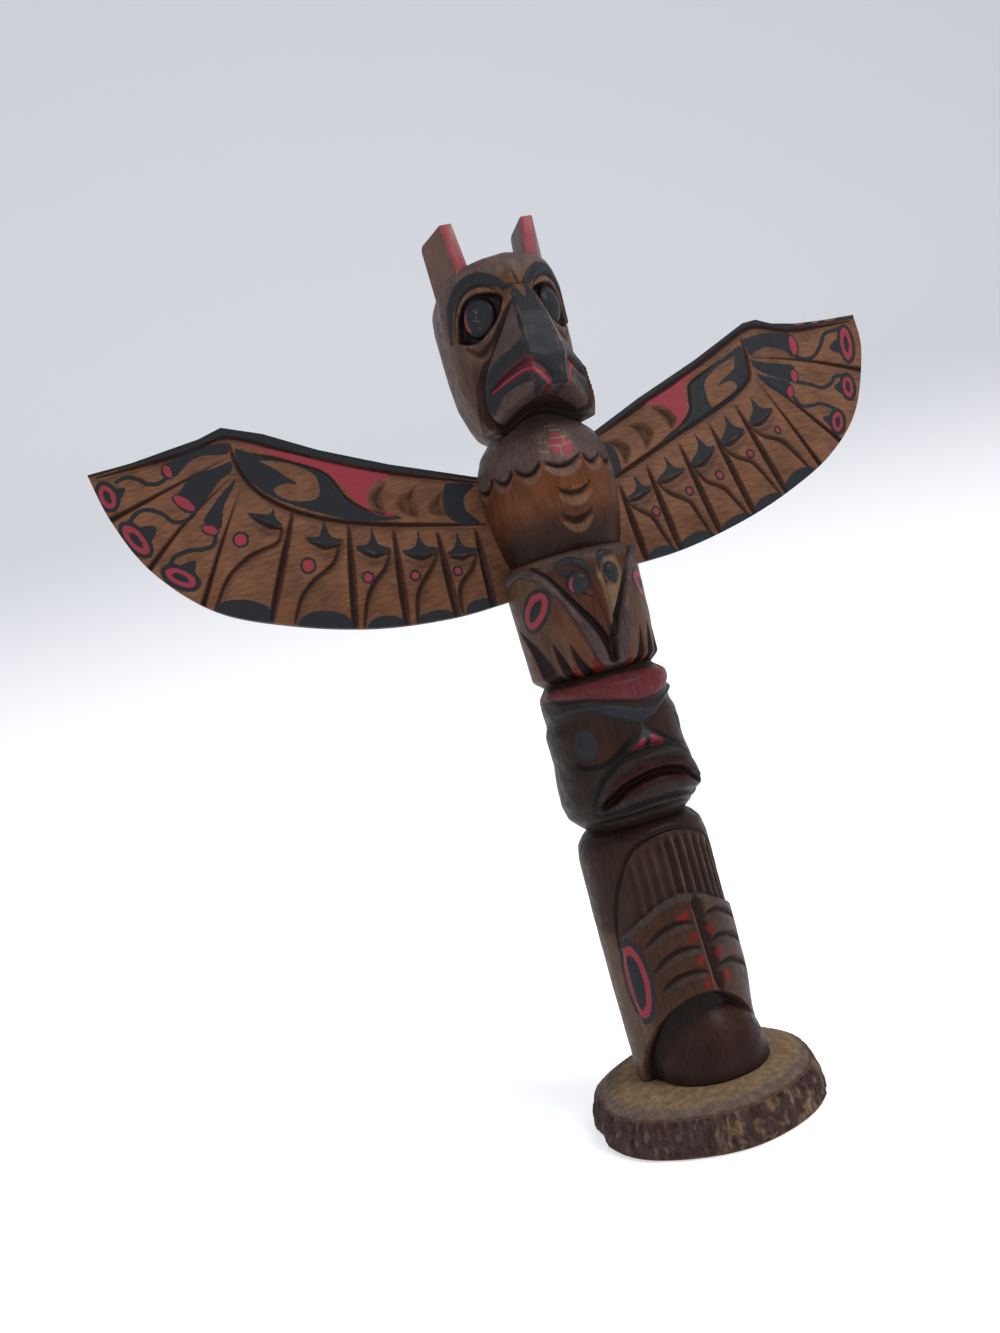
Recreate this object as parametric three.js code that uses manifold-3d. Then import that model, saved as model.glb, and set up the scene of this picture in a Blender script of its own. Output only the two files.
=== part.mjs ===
// A carved and painted wooden totem pole, about 434 mm tall, on a slice of branch.
// Units are millimetres. +Z is up, the carved figures face -Y, and +X is the viewer's right.
// The pole is one carved piece; the two wings are boards let into slots in its sides.
//
// Carving is given on the pole's own skin as (turn, height): turn in degrees from the
// front, positive towards +X, and height above the underside of the base.
import * as THREE from 'three';
import { mergeVertices } from 'three/addons/utils/BufferGeometryUtils.js';
import Module from 'manifold-3d';

const wasm = await Module();
wasm.setup();

// ---- driving dimensions -------------------------------------------------------------
const BASE_HEIGHT = 21.5; // branch slice, at its middle
const BASE_RADIUS = 55;
const GAP = 0.3; // clearance between pieces that touch
const FOOT = BASE_HEIGHT + GAP; // the pole starts here
const FRONT_FACET = 12.5; // degrees; the carved front has finer facets than the back
const BACK_TURNS = [118, 137, 158, 180]; // the corner of the head is at the second
const CARVED_TURN = 100; // how far round the fine facets go, each way
const DEGREE = Math.PI / 180;
const MEAN_RADIUS = 32.5; // used to turn degrees into millimetres along the skin

const BOARD = 7; // wing thickness
const ROOT = 24; // how far in from the axis a wing's inner end lies
const WING_SWEEP = 0.157; // how much the board runs back for each millimetre out
const WING_LEAN = 0.135; // and for each millimetre up
const WING_FRONT = 23; // y of the board's face at 100 mm out and WING_LEVEL up
const WING_LEVEL = 341.5;

// Ears are wedges, thin in front and broad behind: how far out their inner and outer sides lie.
const EAR = {
  front: -20, back: 1, bottom: 404,
  foot: { front: [13.2, 19.2], back: [13.5, 28.6] },
  crown: { front: [16.5, 22.5], back: [15.8, 29.4] },
};
const EARS = [{ side: -1, shift: 1.2, top: 434.3 }, { side: 1, shift: -1, top: 431.8 }];

// ---- solids and meshes --------------------------------------------------------------
const up = new THREE.Vector3(0, 0, 1);

// A closed BufferGeometry as a solid for joining and cutting, with its faces pointing out.
function solid(geometry) {
  const bare = geometry.clone();
  for (const name of Object.keys(bare.attributes)) if (name !== 'position') bare.deleteAttribute(name);
  const merged = mergeVertices(bare, 1e-4);
  const points = Float32Array.from(merged.attributes.position.array);
  const corners = Uint32Array.from(merged.index.array);
  if (signedVolume(points, corners) < 0) {
    for (let i = 0; i < corners.length; i += 3) {
      [corners[i + 1], corners[i + 2]] = [corners[i + 2], corners[i + 1]];
    }
  }
  return new wasm.Manifold(new wasm.Mesh({ numProp: 3, vertProperties: points, triVerts: corners }));
}

function signedVolume(points, corners) {
  const [a, b, c] = [new THREE.Vector3(), new THREE.Vector3(), new THREE.Vector3()];
  let volume = 0;
  for (let i = 0; i < corners.length; i += 3) {
    a.fromArray(points, corners[i] * 3);
    b.fromArray(points, corners[i + 1] * 3);
    c.fromArray(points, corners[i + 2] * 3);
    volume += a.dot(b.cross(c)) / 6;
  }
  return volume;
}

// Rows of points, each row a closed ring, skinned into one closed solid with flat ends.
function skinned(rows) {
  const count = rows[0].length;
  const points = rows.flat().concat([middle(rows[0]), middle(rows[rows.length - 1])]);
  const index = [];
  for (let row = 0; row + 1 < rows.length; row++) {
    for (let i = 0; i < count; i++) {
      const next = (i + 1) % count;
      const [a, b] = [row * count + i, row * count + next];
      index.push(a, b, b + count, a, b + count, a + count);
    }
  }
  const last = (rows.length - 1) * count;
  for (let i = 0; i < count; i++) {
    const next = (i + 1) % count;
    index.push(rows.length * count, next, i, rows.length * count + 1, last + i, last + next);
  }
  const geometry = new THREE.BufferGeometry().setFromPoints(points);
  geometry.setIndex(index);
  return solid(geometry);
}

function middle(ring) {
  const sum = ring.reduce((total, point) => total.add(point), new THREE.Vector3());
  return sum.divideScalar(ring.length);
}

// The triangles of the largest connected body: chips that the cuts free fall away.
function largestBody(corners, pointCount) {
  const owner = Array.from({ length: pointCount }, (_, i) => i);
  const root = (i) => {
    while (owner[i] !== i) i = owner[i] = owner[owner[i]];
    return i;
  };
  for (let i = 0; i < corners.length; i += 3) {
    owner[root(corners[i + 1])] = root(corners[i]);
    owner[root(corners[i + 2])] = root(corners[i]);
  }
  const bodies = new Map();
  for (let i = 0; i < corners.length; i += 3) {
    const key = root(corners[i]);
    bodies.set(key, [...(bodies.get(key) ?? []), corners[i], corners[i + 1], corners[i + 2]]);
  }
  return [...bodies.values()].sort((a, b) => b.length - a.length)[0];
}

function part(name, shape, color, roughness) {
  const mesh = shape.getMesh();
  const geometry = new THREE.BufferGeometry();
  geometry.setAttribute('position', new THREE.BufferAttribute(Float32Array.from(mesh.vertProperties), 3));
  geometry.setIndex(largestBody(mesh.triVerts, mesh.numVert));
  geometry.computeVertexNormals();
  const material = new THREE.MeshStandardMaterial({ color, roughness, metalness: 0 });
  const node = new THREE.Mesh(geometry, material);
  node.name = name;
  return node;
}

const joined = (first, ...more) => more.reduce((whole, piece) => whole.add(piece), first);
const carved = (first, ...cuts) => cuts.reduce((whole, cut) => whole.subtract(cut), first);

// ---- strokes of the knife -----------------------------------------------------------
// How a stroke's width and depth run along it, from 0 at its start to 1 at its end.
const swell = (t) => 0.06 + 0.94 * Math.sin(Math.PI * t) ** 0.7;
const widen = (t) => 0.08 + 0.92 * t;
const even = (t) => 0.35 + 0.65 * Math.min(1, 8 * Math.min(t, 1 - t));

// A strip that follows a path on a surface: place maps (across, up, rise) to space, and
// section gives the strip's outline at each step as pairs of sideways offset and rise.
function sweep(surface, path, steps, section) {
  const curve = new THREE.SplineCurve(path.map(([u, v]) => new THREE.Vector2(u * surface.scale, v)));
  const rows = [];
  for (let i = 0; i <= steps; i++) {
    const t = i / steps;
    const centre = curve.getPoint(t);
    const along = curve.getTangent(t);
    rows.push(section(t).map(([side, rise]) => surface.place(
      (centre.x - along.y * side) / surface.scale, centre.y + along.x * side, rise)));
  }
  return skinned(rows);
}

// A V-shaped cut. deepest runs from -1 to 1: where the bottom lies between its two edges.
// Both walls run on past the skin at their own slope, as far as clear.
function groove(surface, path, { half, depth, run = swell, deepest = 0, steps = 4, clear = 0.8 }) {
  return sweep(surface, path, steps, (t) => {
    const [wide, deep] = [half * run(t), depth * run(t)];
    const bottom = deepest * wide;
    const beyond = clear / deep;
    const left = -wide - (wide + bottom) * beyond;
    const right = wide + (wide - bottom) * beyond;
    return [[left, clear], [right, clear], [bottom, -deep]];
  });
}

// A raised band with sloping shoulders, rooted well below the skin.
const SINK = 3;
function ridge(surface, path, { half, rise, run = swell, steps = 5 }) {
  return sweep(surface, path, steps, (t) => {
    const wide = half * run(t);
    return [[-wide, -SINK], [wide, -SINK], [wide * 0.55, rise], [-wide * 0.55, rise]];
  });
}

// ---- the turned body of the pole ----------------------------------------------------
const polar = (turn, height, radius) => new THREE.Vector3(
  radius * Math.sin(turn * DEGREE), -radius * Math.cos(turn * DEGREE), height);

// Each figure is a stack of rings: height, then how far the front, the sides and the
// back stand from the axis, and a number that squares the plan up as it grows past 2.
// A sixth number squares the back of the plan alone.
const FIGURES = {
  lower: [
    [FOOT, 30, 30.5, 30.5, 2], [37, 31, 30.8, 30.5, 2], [66, 31.6, 31.4, 30.8, 2],
    [98, 31.4, 31.6, 31, 2], [128, 31.4, 31.4, 31, 2], [135, 30, 30.2, 29.6, 2],
    [139.5, 26.6, 26.6, 26, 2], [141.5, 22.5, 23.3, 23, 2],
  ],
  mask: [
    [140.5, 23.5, 23.3, 23, 2], [143.5, 28.5, 26.5, 26, 2.1], [148, 33.4, 31, 29.5, 2.2],
    [155, 35.6, 32.6, 30.5, 2.3], [166, 36, 32.2, 30.8, 2.3], [175, 34, 31.2, 31, 2.2],
    [189, 33.4, 31.8, 31, 2.1], [194, 34, 30, 30, 2], [201, 36.4, 30.6, 30.4, 2],
    [207, 35.8, 30.4, 30, 2], [213, 27, 26, 26, 2],
  ],
  hawk: [
    [211.8, 26, 26, 26, 2], [216, 31.6, 31.2, 30.8, 2], [240, 32.6, 32, 31.4, 2],
    [258, 33.2, 32.6, 31.6, 2], [266, 33, 32.6, 31.6, 2], [269.5, 30.4, 31.4, 30.4, 2],
    [271, 25, 28, 28, 2],
  ],
  breast: [
    [269, 24, 26.5, 28, 2], [275, 26.6, 28.6, 30.2, 2], [285, 30, 31, 31.6, 2],
    [297, 32.4, 32.6, 31.6, 2], [309, 33, 33.2, 31, 2], [319, 31.6, 32, 29.8, 2],
    [327, 28, 28.6, 26.8, 2], [334, 21.6, 22, 21.6, 2], [339, 17, 18, 18, 2],
  ],
  head: [
    [333, 19, 18.6, 18, 2, 3], [335.5, 23.5, 21.4, 21, 1.9, 4], [339.5, 28, 24.5, 24, 1.9, 5],
    [346, 31, 26.4, 26.4, 1.8, 6], [358, 33.5, 29, 29.5, 1.75, 7], [372, 36, 29.8, 30.5, 1.7, 8],
    [398, 37, 30.2, 31.4, 1.7, 8], [407, 35, 29.6, 30.6, 1.75, 7], [411, 31, 27.5, 28.5, 1.9, 6],
    [412, 28, 25.5, 26.5, 2, 5],
  ],
};

function girth([, front, sides, back, square, rear = square], turn) {
  const ahead = Math.cos(turn * DEGREE);
  const aside = Math.sin(turn * DEGREE);
  const depth = ahead > 0 ? front : back;
  const power = ahead > 0 ? square : rear;
  return (Math.abs(ahead / depth) ** power + Math.abs(aside / sides) ** power) ** (-1 / power);
}

const FACET_TURNS = [];
for (let turn = -CARVED_TURN; turn <= CARVED_TURN; turn += FRONT_FACET) FACET_TURNS.push(turn);
FACET_TURNS.push(...BACK_TURNS, ...BACK_TURNS.slice(0, -1).reverse().map((turn) => 360 - turn));

const drum = (rings) => skinned(rings.map((ring) => (
  FACET_TURNS.map((turn) => polar(turn, ring[0], girth(ring, turn))))));

// A figure's skin: where a point at (turn, height) that stands out by rise lies. A skin
// with a lift is that of a band laid on the figure.
function skin(rings, lift = 0) {
  const place = (turn, height, rise) => {
    let upper = 1;
    while (upper < rings.length - 1 && rings[upper][0] < height) upper++;
    const [low, high] = [rings[upper - 1], rings[upper]];
    const share = THREE.MathUtils.clamp((height - low[0]) / (high[0] - low[0]), 0, 1);
    const radius = THREE.MathUtils.lerp(girth(low, turn), girth(high, turn), share);
    return polar(turn, height, radius + lift + rise);
  };
  return { place, scale: MEAN_RADIUS * DEGREE };
}

// A ball or an egg set in the skin: half its width, height and thickness.
function ball(surface, turn, height, [wide, tall, thick], rise = 0) {
  const geometry = new THREE.SphereGeometry(1, 8, 5);
  const outward = polar(turn, 0, 1);
  const side = new THREE.Vector3().crossVectors(outward, up);
  geometry.scale(wide, thick, tall);
  geometry.applyMatrix4(new THREE.Matrix4().makeBasis(side, outward, up));
  const centre = surface.place(turn, height, rise);
  return solid(geometry.translate(centre.x, centre.y, centre.z));
}

// The same path on the other side of a figure whose middle is turned by middle degrees.
const mirrored = (path, middleTurn = 0) => path.map(([turn, height]) => [2 * middleTurn - turn, height]);

// Calls make for a path and for its mirror image.
const bothSides = (path, make, middleTurn = 0) => [make(path), make(mirrored(path, middleTurn))];

// ---- head: eagle with a hooked beak and two upright ears ------------------------------
// Half of the beak's plan at each level: ridge, flank and root as x and y.
const BEAK = [
  [398, [1.5, -36.4], [4, -35], [6, -30]],
  [392, [3.5, -40], [6.5, -36], [8, -30]],
  [385, [5.5, -45], [8.5, -38], [10.5, -30]],
  [376, [6.4, -49], [10.5, -40], [13.5, -29]],
  [364, [7.4, -52.4], [13, -41], [20, -28]],
  [354, [8, -54.4], [14.5, -41], [25, -26]],
  [346, [7.4, -54.4], [15, -40], [26, -24]],
  [339, [6, -53], [14.5, -37], [26, -22]],
  [333, [4, -48.5], [12, -34], [25, -19]],
];

function beak() {
  return skinned(BEAK.map(([height, ...half]) => {
    const right = half.map(([x, y]) => new THREE.Vector3(x, y, height));
    const left = half.map(([x, y]) => new THREE.Vector3(-x, y, height)).reverse();
    return [...right, new THREE.Vector3(18, 0, height), new THREE.Vector3(-18, 0, height), ...left];
  }));
}

// The flank of the beak as a surface: across is the distance from the middle line.
function beakFlank(side) {
  const place = (across, height, rise) => {
    let level = 1;
    while (level < BEAK.length - 1 && BEAK[level][0] > height) level++;
    const [high, low] = [BEAK[level - 1], BEAK[level]];
    const share = THREE.MathUtils.clamp((high[0] - height) / (high[0] - low[0]), 0, 1);
    const plan = [1, 2, 3].map((i) => [0, 1].map((k) => THREE.MathUtils.lerp(high[i][k], low[i][k], share)));
    const span = across < plan[1][0] ? [plan[0], plan[1]] : [plan[1], plan[2]];
    const slope = (span[1][1] - span[0][1]) / (span[1][0] - span[0][0]);
    const run = Math.hypot(1, slope);
    const y = span[0][1] + (across - span[0][0]) * slope;
    return new THREE.Vector3(side * (across + rise * slope / run), y - rise / run, height);
  };
  return { place, scale: 1 };
}

function ear({ side, shift, top }) {
  const ring = ({ front, back }, height, inset) => [
    [front[0] + inset, EAR.front + inset], [front[1] - inset, EAR.front + inset],
    [back[1] - 2 * inset, EAR.back - inset], [back[0] + inset, EAR.back - inset],
  ].map(([x, y]) => new THREE.Vector3(side * (x + shift), y, height));
  return skinned([ring(EAR.foot, EAR.bottom, 0), ring(EAR.crown, top - 2, 0), ring(EAR.crown, top, 0.9)]);
}

// The hollow under the chin: an arch from jaw to jaw, cut back to a wall in front of the neck.
const CHIN_ARCH = { middle: 325.5, half: 25.5, rise: 16.5, wall: 18 };

function squaredArch(half, rise) {
  const geometry = new THREE.CylinderGeometry(1, 1, 60, 20);
  const points = geometry.attributes.position;
  for (let i = 0; i < points.count; i++) {
    const [x, z] = [points.getX(i), points.getZ(i)];
    const power = (Math.abs(x) ** 2.6 + Math.abs(z) ** 2.6) ** (1 / 2.6);
    const swell = power > 0 ? Math.hypot(x, z) / power : 0;
    points.setXYZ(i, x * half * swell, points.getY(i), z * rise * swell);
  }
  return geometry;
}

function head() {
  const surface = skin(FIGURES.head);
  const socket = [[-60, 382.5], [-37, 385.5], [-14, 388.5]];
  const brow = [[-69, 387], [-61, 396], [-46, 401.5], [-27, 402.5], [-5, 390.5]];
  const cheek = [[-35, 368], [-45, 359], [-51, 345], [-47, 333]];
  const mouth = [[23.5, 349.5], [18, 353.5], [11.5, 356], [8, 354], [5, 347]];
  const flute = (path) => groove(surface, path, { half: 2.4, depth: 2.6, run: even, steps: 3 });
  const almond = (path) => groove(surface, path, { half: 9, depth: 5, steps: 5 });
  const band = (path) => ridge(surface, path, { half: 3.2, rise: 1.3, steps: 4 });
  const { half, rise, wall, middle } = CHIN_ARCH;
  const arch = squaredArch(half, rise).translate(0, -wall - 30, middle);
  let shape = carved(drum(FIGURES.head), ...bothSides(socket, almond), ...bothSides(cheek, flute));
  shape = joined(shape, beak(), ...bothSides(brow, band), ...EARS.map(ear),
    ball(surface, -36, 385, [7.4, 7.8, 5], -3), ball(surface, 36, 385, [7.4, 7.8, 5], -3));
  const jaws = [-1, 1].map((side) => groove(beakFlank(side), mouth, { half: 2.6, depth: 2.4, steps: 3 }));
  return carved(shape, solid(arch), ...jaws);
}

// ---- breast: a row of scalloped feathers and two smile cuts ---------------------------
const FEATHER_TURNS = [-95, -63, -39, -14, 20, 44, 68, 100];

function breast() {
  const surface = skin(FIGURES.breast);
  const scoop = (from, to, height, sag, half) => groove(surface,
    [[from, height], [(from + to) / 2, height - sag], [to, height + 1]],
    { half, depth: 2.4, deepest: 0.8, steps: 3 });
  const feathers = FEATHER_TURNS.slice(1).map((turn, i) => (
    scoop(FEATHER_TURNS[i] + 2, turn - 1, 311, 3.5, 3.6)));
  return carved(drum(FIGURES.breast), ...feathers,
    scoop(-8, 23, 297.5, 5, 3.6), scoop(-10, 20, 285, 4.5, 3.4));
}

// ---- hawk: a face framed by two raised bands that meet in a V --------------------------
const HAWK_TURN = 2;

function hawk() {
  const surface = skin(FIGURES.hawk);
  const frameBand = [
    [-84, 264], [-62, 267], [-44, 264], [-33, 256.5], [-24, 247], [-16, 236.5], [-9, 225.5], [-3, 216],
  ];
  const inner = [[-44, 266], [-29, 256.5], [-16, 243.5], [-4, 230], [1, 219]];
  const nose = [[2, 264], [4, 248], [6, 230]];
  const brow = [[-25, 263.5], [-13, 265], [1, 258]];
  const cuts = [
    [[-86, 241], [-70, 231], [-57, 213]], [[-48, 231], [-45, 224], [-39, 213]],
    [[-32, 228], [-29, 221], [-23, 213]],
  ];
  const band = (path) => ridge(surface, path, { half: 3, rise: 1.4, run: even, steps: 4 });
  const lip = (path) => ridge(surface, path, { half: 1.6, rise: 1.4, steps: 3 });
  const vee = (path) => groove(surface, path, { half: 2.4, depth: 2.6, steps: 3, clear: 2 });
  const wedge = (path) => groove(surface, path, { half: 3.6, depth: 2.6, run: widen, steps: 2, clear: 2 });
  const prow = sweep(surface, nose, 3, (t) => {
    const wide = THREE.MathUtils.lerp(9, 2.5, t);
    return [[-wide, -SINK], [wide, -SINK], [0, THREE.MathUtils.lerp(3.4, 1.6, t)]];
  });
  let shape = joined(drum(FIGURES.hawk), ...bothSides(frameBand, band, HAWK_TURN));
  shape = carved(shape, ...bothSides(inner, vee, HAWK_TURN));
  shape = joined(shape, prow, ...bothSides(brow, lip, HAWK_TURN),
    ball(surface, -10, 254, [4.7, 5, 2.6]), ball(surface, 15, 256, [4.2, 5, 2.6]));
  return carved(shape, ...cuts.flatMap((cut) => bothSides(cut, wedge, HAWK_TURN)));
}

// ---- mask: a wide-mouthed face under a rolled red brim ----------------------------------
const MASK_TURN = 8;

function mask() {
  const surface = skin(FIGURES.mask);
  const brow = [
    [-74, 198], [-40, 199.5], [-20, 197], [MASK_TURN, 190], [36, 196], [56, 199.5], [90, 198],
  ];
  const mouthLine = [[-32, 155], [-16, 161], [MASK_TURN, 165], [32, 161], [48, 155]];
  const upperLip = [[-44, 152], [-26, 165], [MASK_TURN, 171.5], [42, 165], [60, 152]];
  const lowerLip = [[-40, 150.5], [-18, 155], [MASK_TURN, 158], [34, 155], [56, 150.5]];
  const chin = [[-44, 147.5], [-18, 149.5], [MASK_TURN, 152], [34, 149.5], [60, 147.5]];
  const socket = [[-66, 187], [-42, 184], [-18, 186]];
  const nose = [[MASK_TURN, 187], [MASK_TURN, 174]];
  const cheekLine = [[-10, 176], [-28, 168], [-44, 159], [-50, 149]];
  const roll = (path, half, rise, steps) => ridge(surface, path, { half, rise, run: even, steps });
  const line = (path, half, depth, steps) => (
    groove(surface, path, { half, depth, run: even, steps, clear: 2.4 }));
  const snout = sweep(surface, nose, 1, (t) => {
    const wide = THREE.MathUtils.lerp(2.5, 13, t);
    return [[-wide, -SINK], [wide, -SINK], [wide * 0.45, 2 + 2.6 * t], [-wide * 0.45, 2 + 2.6 * t]];
  });
  const eyes = [-41, 2 * MASK_TURN + 41].map((turn) => ball(surface, turn, 182, [6.2, 7.6, 2.6], -1));
  const hollow = (path) => groove(surface, path, { half: 6, depth: 2.4, deepest: 0.6, steps: 3 });
  let shape = carved(drum(FIGURES.mask), ...bothSides(socket, hollow, MASK_TURN));
  shape = joined(shape, roll(brow, 3, 1.5, 6), roll(upperLip, 3.2, 1.8, 5),
    roll(lowerLip, 2.6, 1.4, 5), snout, ...eyes);
  return carved(shape, line(mouthLine, 1.7, 2.6, 4), line(chin, 1.5, 1.8, 4),
    ...bothSides(cheekLine, (path) => line(path, 1.3, 1.6, 3), MASK_TURN));
}

// ---- lower figure: fluted apron, ribbed panel and a domed knee ----------------------------
const LOWER_TURN = 12;
const FLUTE_STEP = 11.5;
const PANEL_RISE = 1.6;

function lower() {
  const surface = skin(FIGURES.lower);
  const apron = [[-60, 94], [-44, 118], [-28, 130], [LOWER_TURN, 135.5], [48, 129], [68, 112], [80, 91]];
  const panelTop = [[-57, 91], [-34, 99.5], [-16, 105], [2, 107], [20, 105], [45, 98], [78, 88]];
  const ribs = [
    [[-34, 86.5], [-15, 92], [7, 93]],
    [[-33, 75], [-12, 80.5], [9, 81.5]],
    [[-30, 65.5], [-10, 70], [10, 70.5]],
  ];
  const flutes = [-4, -3, -2, -1, 0, 1, 2, 3, 4].map((k) => groove(surface,
    [[LOWER_TURN + k * FLUTE_STEP, 104], [LOWER_TURN + k * FLUTE_STEP, 132.5 - 0.62 * k * k]],
    { half: 2.6, depth: 1.5, run: even, steps: 1 }));
  // The panel stands proud: a shell of the skin between the apron and the knee.
  const panel = raisedPanel(surface, panelTop, 48, PANEL_RISE);
  const panelSkin = skin(FIGURES.lower, PANEL_RISE);
  const spine = groove(panelSkin, [[15, 58], [15, 101.5]], { half: 2.3, depth: 3, run: even, steps: 2 });
  const scoop = (path) => groove(panelSkin, path, { half: 3.4, depth: 1.9, deepest: 0.5, steps: 3 });
  let shape = carved(drum(FIGURES.lower), ...flutes,
    groove(surface, apron, { half: 0.9, depth: 1, run: even, steps: 6 }));
  shape = joined(shape, panel);
  shape = carved(shape, spine, ...ribs.flatMap((rib) => bothSides(rib, scoop, 15)), kneeHollow());
  return joined(shape, knee());
}

function raisedPanel(surface, topEdge, bottom, rise) {
  const top = new THREE.SplineCurve(topEdge.map(([turn, height]) => new THREE.Vector2(turn, height)));
  return skinned(top.getPoints(10).map(({ x, y }) => [
    surface.place(x, bottom, -6), surface.place(x, y, -6),
    surface.place(x, y, rise), surface.place(x, bottom, rise),
  ]));
}

// The knee is half an egg that stands on the base, in an arch cut back to a round core.
const KNEE = { x: 4, y: -8, wide: 26.8, tall: 45 };
const ARCH = { turn: -2, half: 30, rise: 40, core: 25.5 };

function kneeHollow() {
  const arch = new THREE.CylinderGeometry(1, 1, 60, 20).scale(ARCH.half, 1, ARCH.rise);
  const core = new THREE.CylinderGeometry(ARCH.core, ARCH.core, 100, 20).rotateX(Math.PI / 2);
  arch.translate(0, -30, FOOT - 0.5).rotateZ(ARCH.turn * DEGREE);
  return carved(solid(arch), solid(core.translate(0, 0, FOOT)));
}

function knee() {
  const egg = new THREE.SphereGeometry(1, 16, 8).scale(KNEE.wide, KNEE.tall, KNEE.wide);
  const below = new THREE.BoxGeometry(100, 100, 60).translate(0, 0, FOOT - 30);
  return carved(solid(egg.rotateX(Math.PI / 2).translate(KNEE.x, KNEE.y, FOOT)), solid(below));
}

// ---- wings ------------------------------------------------------------------------------
// Outlines and carving are (out from the axis, height) on the board's front face.
const WINGS = {
  left: {
    side: -1,
    top: [[34, 322.5], [70, 338.5], [101, 354.5], [125, 369.5], [144, 378], [156, 375], [171, 373.5],
      [190, 371.5], [212, 371]],
    lower: [[212, 371], [206, 345], [193, 316], [168, 289], [134, 272.5], [96, 261], [60, 256.5], [34, 257]],
    border: [
      [30, 318], [71, 334.5], [96, 346.5], [120, 360.5], [142, 372.5], [156, 371], [172, 369.5], [208, 368.5],
    ],
    rays: [
      [[145, 362], [175, 354], [209, 345]],
      [[145, 352], [172, 335], [195, 316]],
      [[142, 345], [157, 321], [173, 293]],
    ],
    covert: [[142, 369], [141, 356], [135, 342], [122, 329], [103, 318], [78, 309], [33, 297]],
    feathers: [
      [119, 327, 141, 276], [97, 315, 105, 263], [76, 307, 82, 258], [56, 300, 58, 255], [38, 296, 40, 256],
    ],
    tees: [[134, 329, 323], [110, 314, 306], [86, 305, 296], [66, 298, 289], [48, 293, 284]],
    curls: [[128, 318, 147, 306, 165, 290], [103, 303, 117, 289, 130, 276], [80, 294, 90, 282, 99, 265],
      [60, 288, 67, 279, 75, 260], [43, 283, 50, 272, 55, 259]],
    scoops: [[78, 318, 70, 330], [63, 312, 57, 324], [49, 306, 42, 319]],
  },
  right: {
    side: 1,
    top: [[34, 331], [64, 344.5], [104, 360.5], [140, 377], [149, 378], [158, 374.5], [172, 372.5],
      [190, 372], [213, 372.5]],
    lower: [
      [213, 372.5], [210, 351], [192, 317], [166, 295], [132, 279.5], [98, 269], [64, 262.5], [34, 260.5],
    ],
    border: [
      [30, 326], [64, 340.5], [102, 356], [138, 372.5], [150, 373.5], [160, 370.5], [174, 368.5], [209, 369],
    ],
    rays: [[[138, 357], [172, 350], [207, 339]], [[137, 352], [164, 336], [191, 316]],
      [[137, 347], [156, 326], [176, 301]], [[136, 345], [147, 319], [158, 290]]],
    covert: [[136, 368], [135, 354], [130, 343], [105, 331], [78, 321], [52, 311], [33, 303.5]],
    feathers: [
      [119, 332, 133, 278], [100, 325, 110, 271], [79, 317, 86, 264], [58, 309, 61, 260], [39, 302, 41, 259],
    ],
    tees: [[131, 328, 322], [110, 320, 312], [90, 312, 305], [69, 305, 298], [48, 298, 291]],
    curls: [[125, 317, 138, 306, 150, 288], [104, 309, 117, 297, 127, 277], [84, 300, 96, 288, 104, 269],
      [64, 294, 74, 284, 80, 263], [45, 289, 53, 280, 58, 261]],
    scoops: [[84, 329, 72, 339], [66, 322, 55, 332], [49, 315, 40, 326]],
  },
};

function boardFace(side) {
  const place = (out, height, rise) => new THREE.Vector3(side * out,
    WING_FRONT + WING_SWEEP * (out - 100) + WING_LEAN * (height - WING_LEVEL) - rise, height);
  return { place, scale: 1 };
}

// A flat outline laid on the board's face, from the rise front back to the rise back.
function slab(surface, outline, front, back) {
  const shape = new THREE.Shape(outline.map(([out, height]) => new THREE.Vector2(out, height)));
  const geometry = new THREE.ExtrudeGeometry(shape, { depth: 1, bevelEnabled: false });
  const points = geometry.attributes.position;
  for (let i = 0; i < points.count; i++) {
    const rise = THREE.MathUtils.lerp(front, back, points.getZ(i));
    const point = surface.place(points.getX(i), points.getY(i), rise);
    points.setXYZ(i, point.x, point.y, point.z);
  }
  return solid(geometry);
}

const LOWER_EDGE_STEPS = 16;

function wingOutline({ top, lower: edge }) {
  const curve = new THREE.SplineCurve(edge.map(([out, height]) => new THREE.Vector2(out, height)));
  const rim = curve.getPoints(LOWER_EDGE_STEPS).map(({ x, y }) => [x, y]);
  const innerTop = top[0][1] + (ROOT - top[0][0]) * 0.44;
  return [[ROOT, rim[rim.length - 1][1] + 1], [ROOT, innerTop], ...top.slice(0, -1), ...rim];
}

function wing(plan) {
  const surface = boardFace(plan.side);
  const line = (path, half, depth, steps, more = {}) => (
    groove(surface, path, { half, depth, steps, ...more }));
  const quills = plan.feathers.map(([x0, z0, x1, z1]) => (
    line([[x0, z0], [x1, z1]], 1.9, 1.7, 1, { run: widen })));
  // Under each painted tee the wood is scooped away below a curved, upright edge.
  const hollows = plan.tees.map(([x, high, mid]) => (
    line([[x - 8, mid - 3], [x, mid], [x + 7, mid + 5]], 3.2, 1.8, 2, { deepest: plan.side * 0.1 + 0.7 })));
  const curls = plan.curls.map(([x0, z0, x1, z1, x2, z2]) => (
    line([[x0, z0], [x1, z1], [x2, z2 + 4]], 0.8, 0.8, 2)));
  const scoops = plan.scoops.map(([x0, z0, x1, z1]) => (
    line([[x1, z1], [x0 + 1, (z0 + z1) / 2], [x0 - 3, z0 - 6]], 3, 1.8, 2, { deepest: 0.7 })));
  return carved(slab(surface, wingOutline(plan), 0, -BOARD),
    line(plan.border, 1.3, 1.3, 5, { run: even }), line(plan.covert, 1.2, 1.3, 4, { run: even }),
    ...plan.rays.map((ray) => line(ray, 1.6, 1.6, 2, { run: widen })),
    ...quills, ...hollows, ...curls, ...scoops);
}

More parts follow.
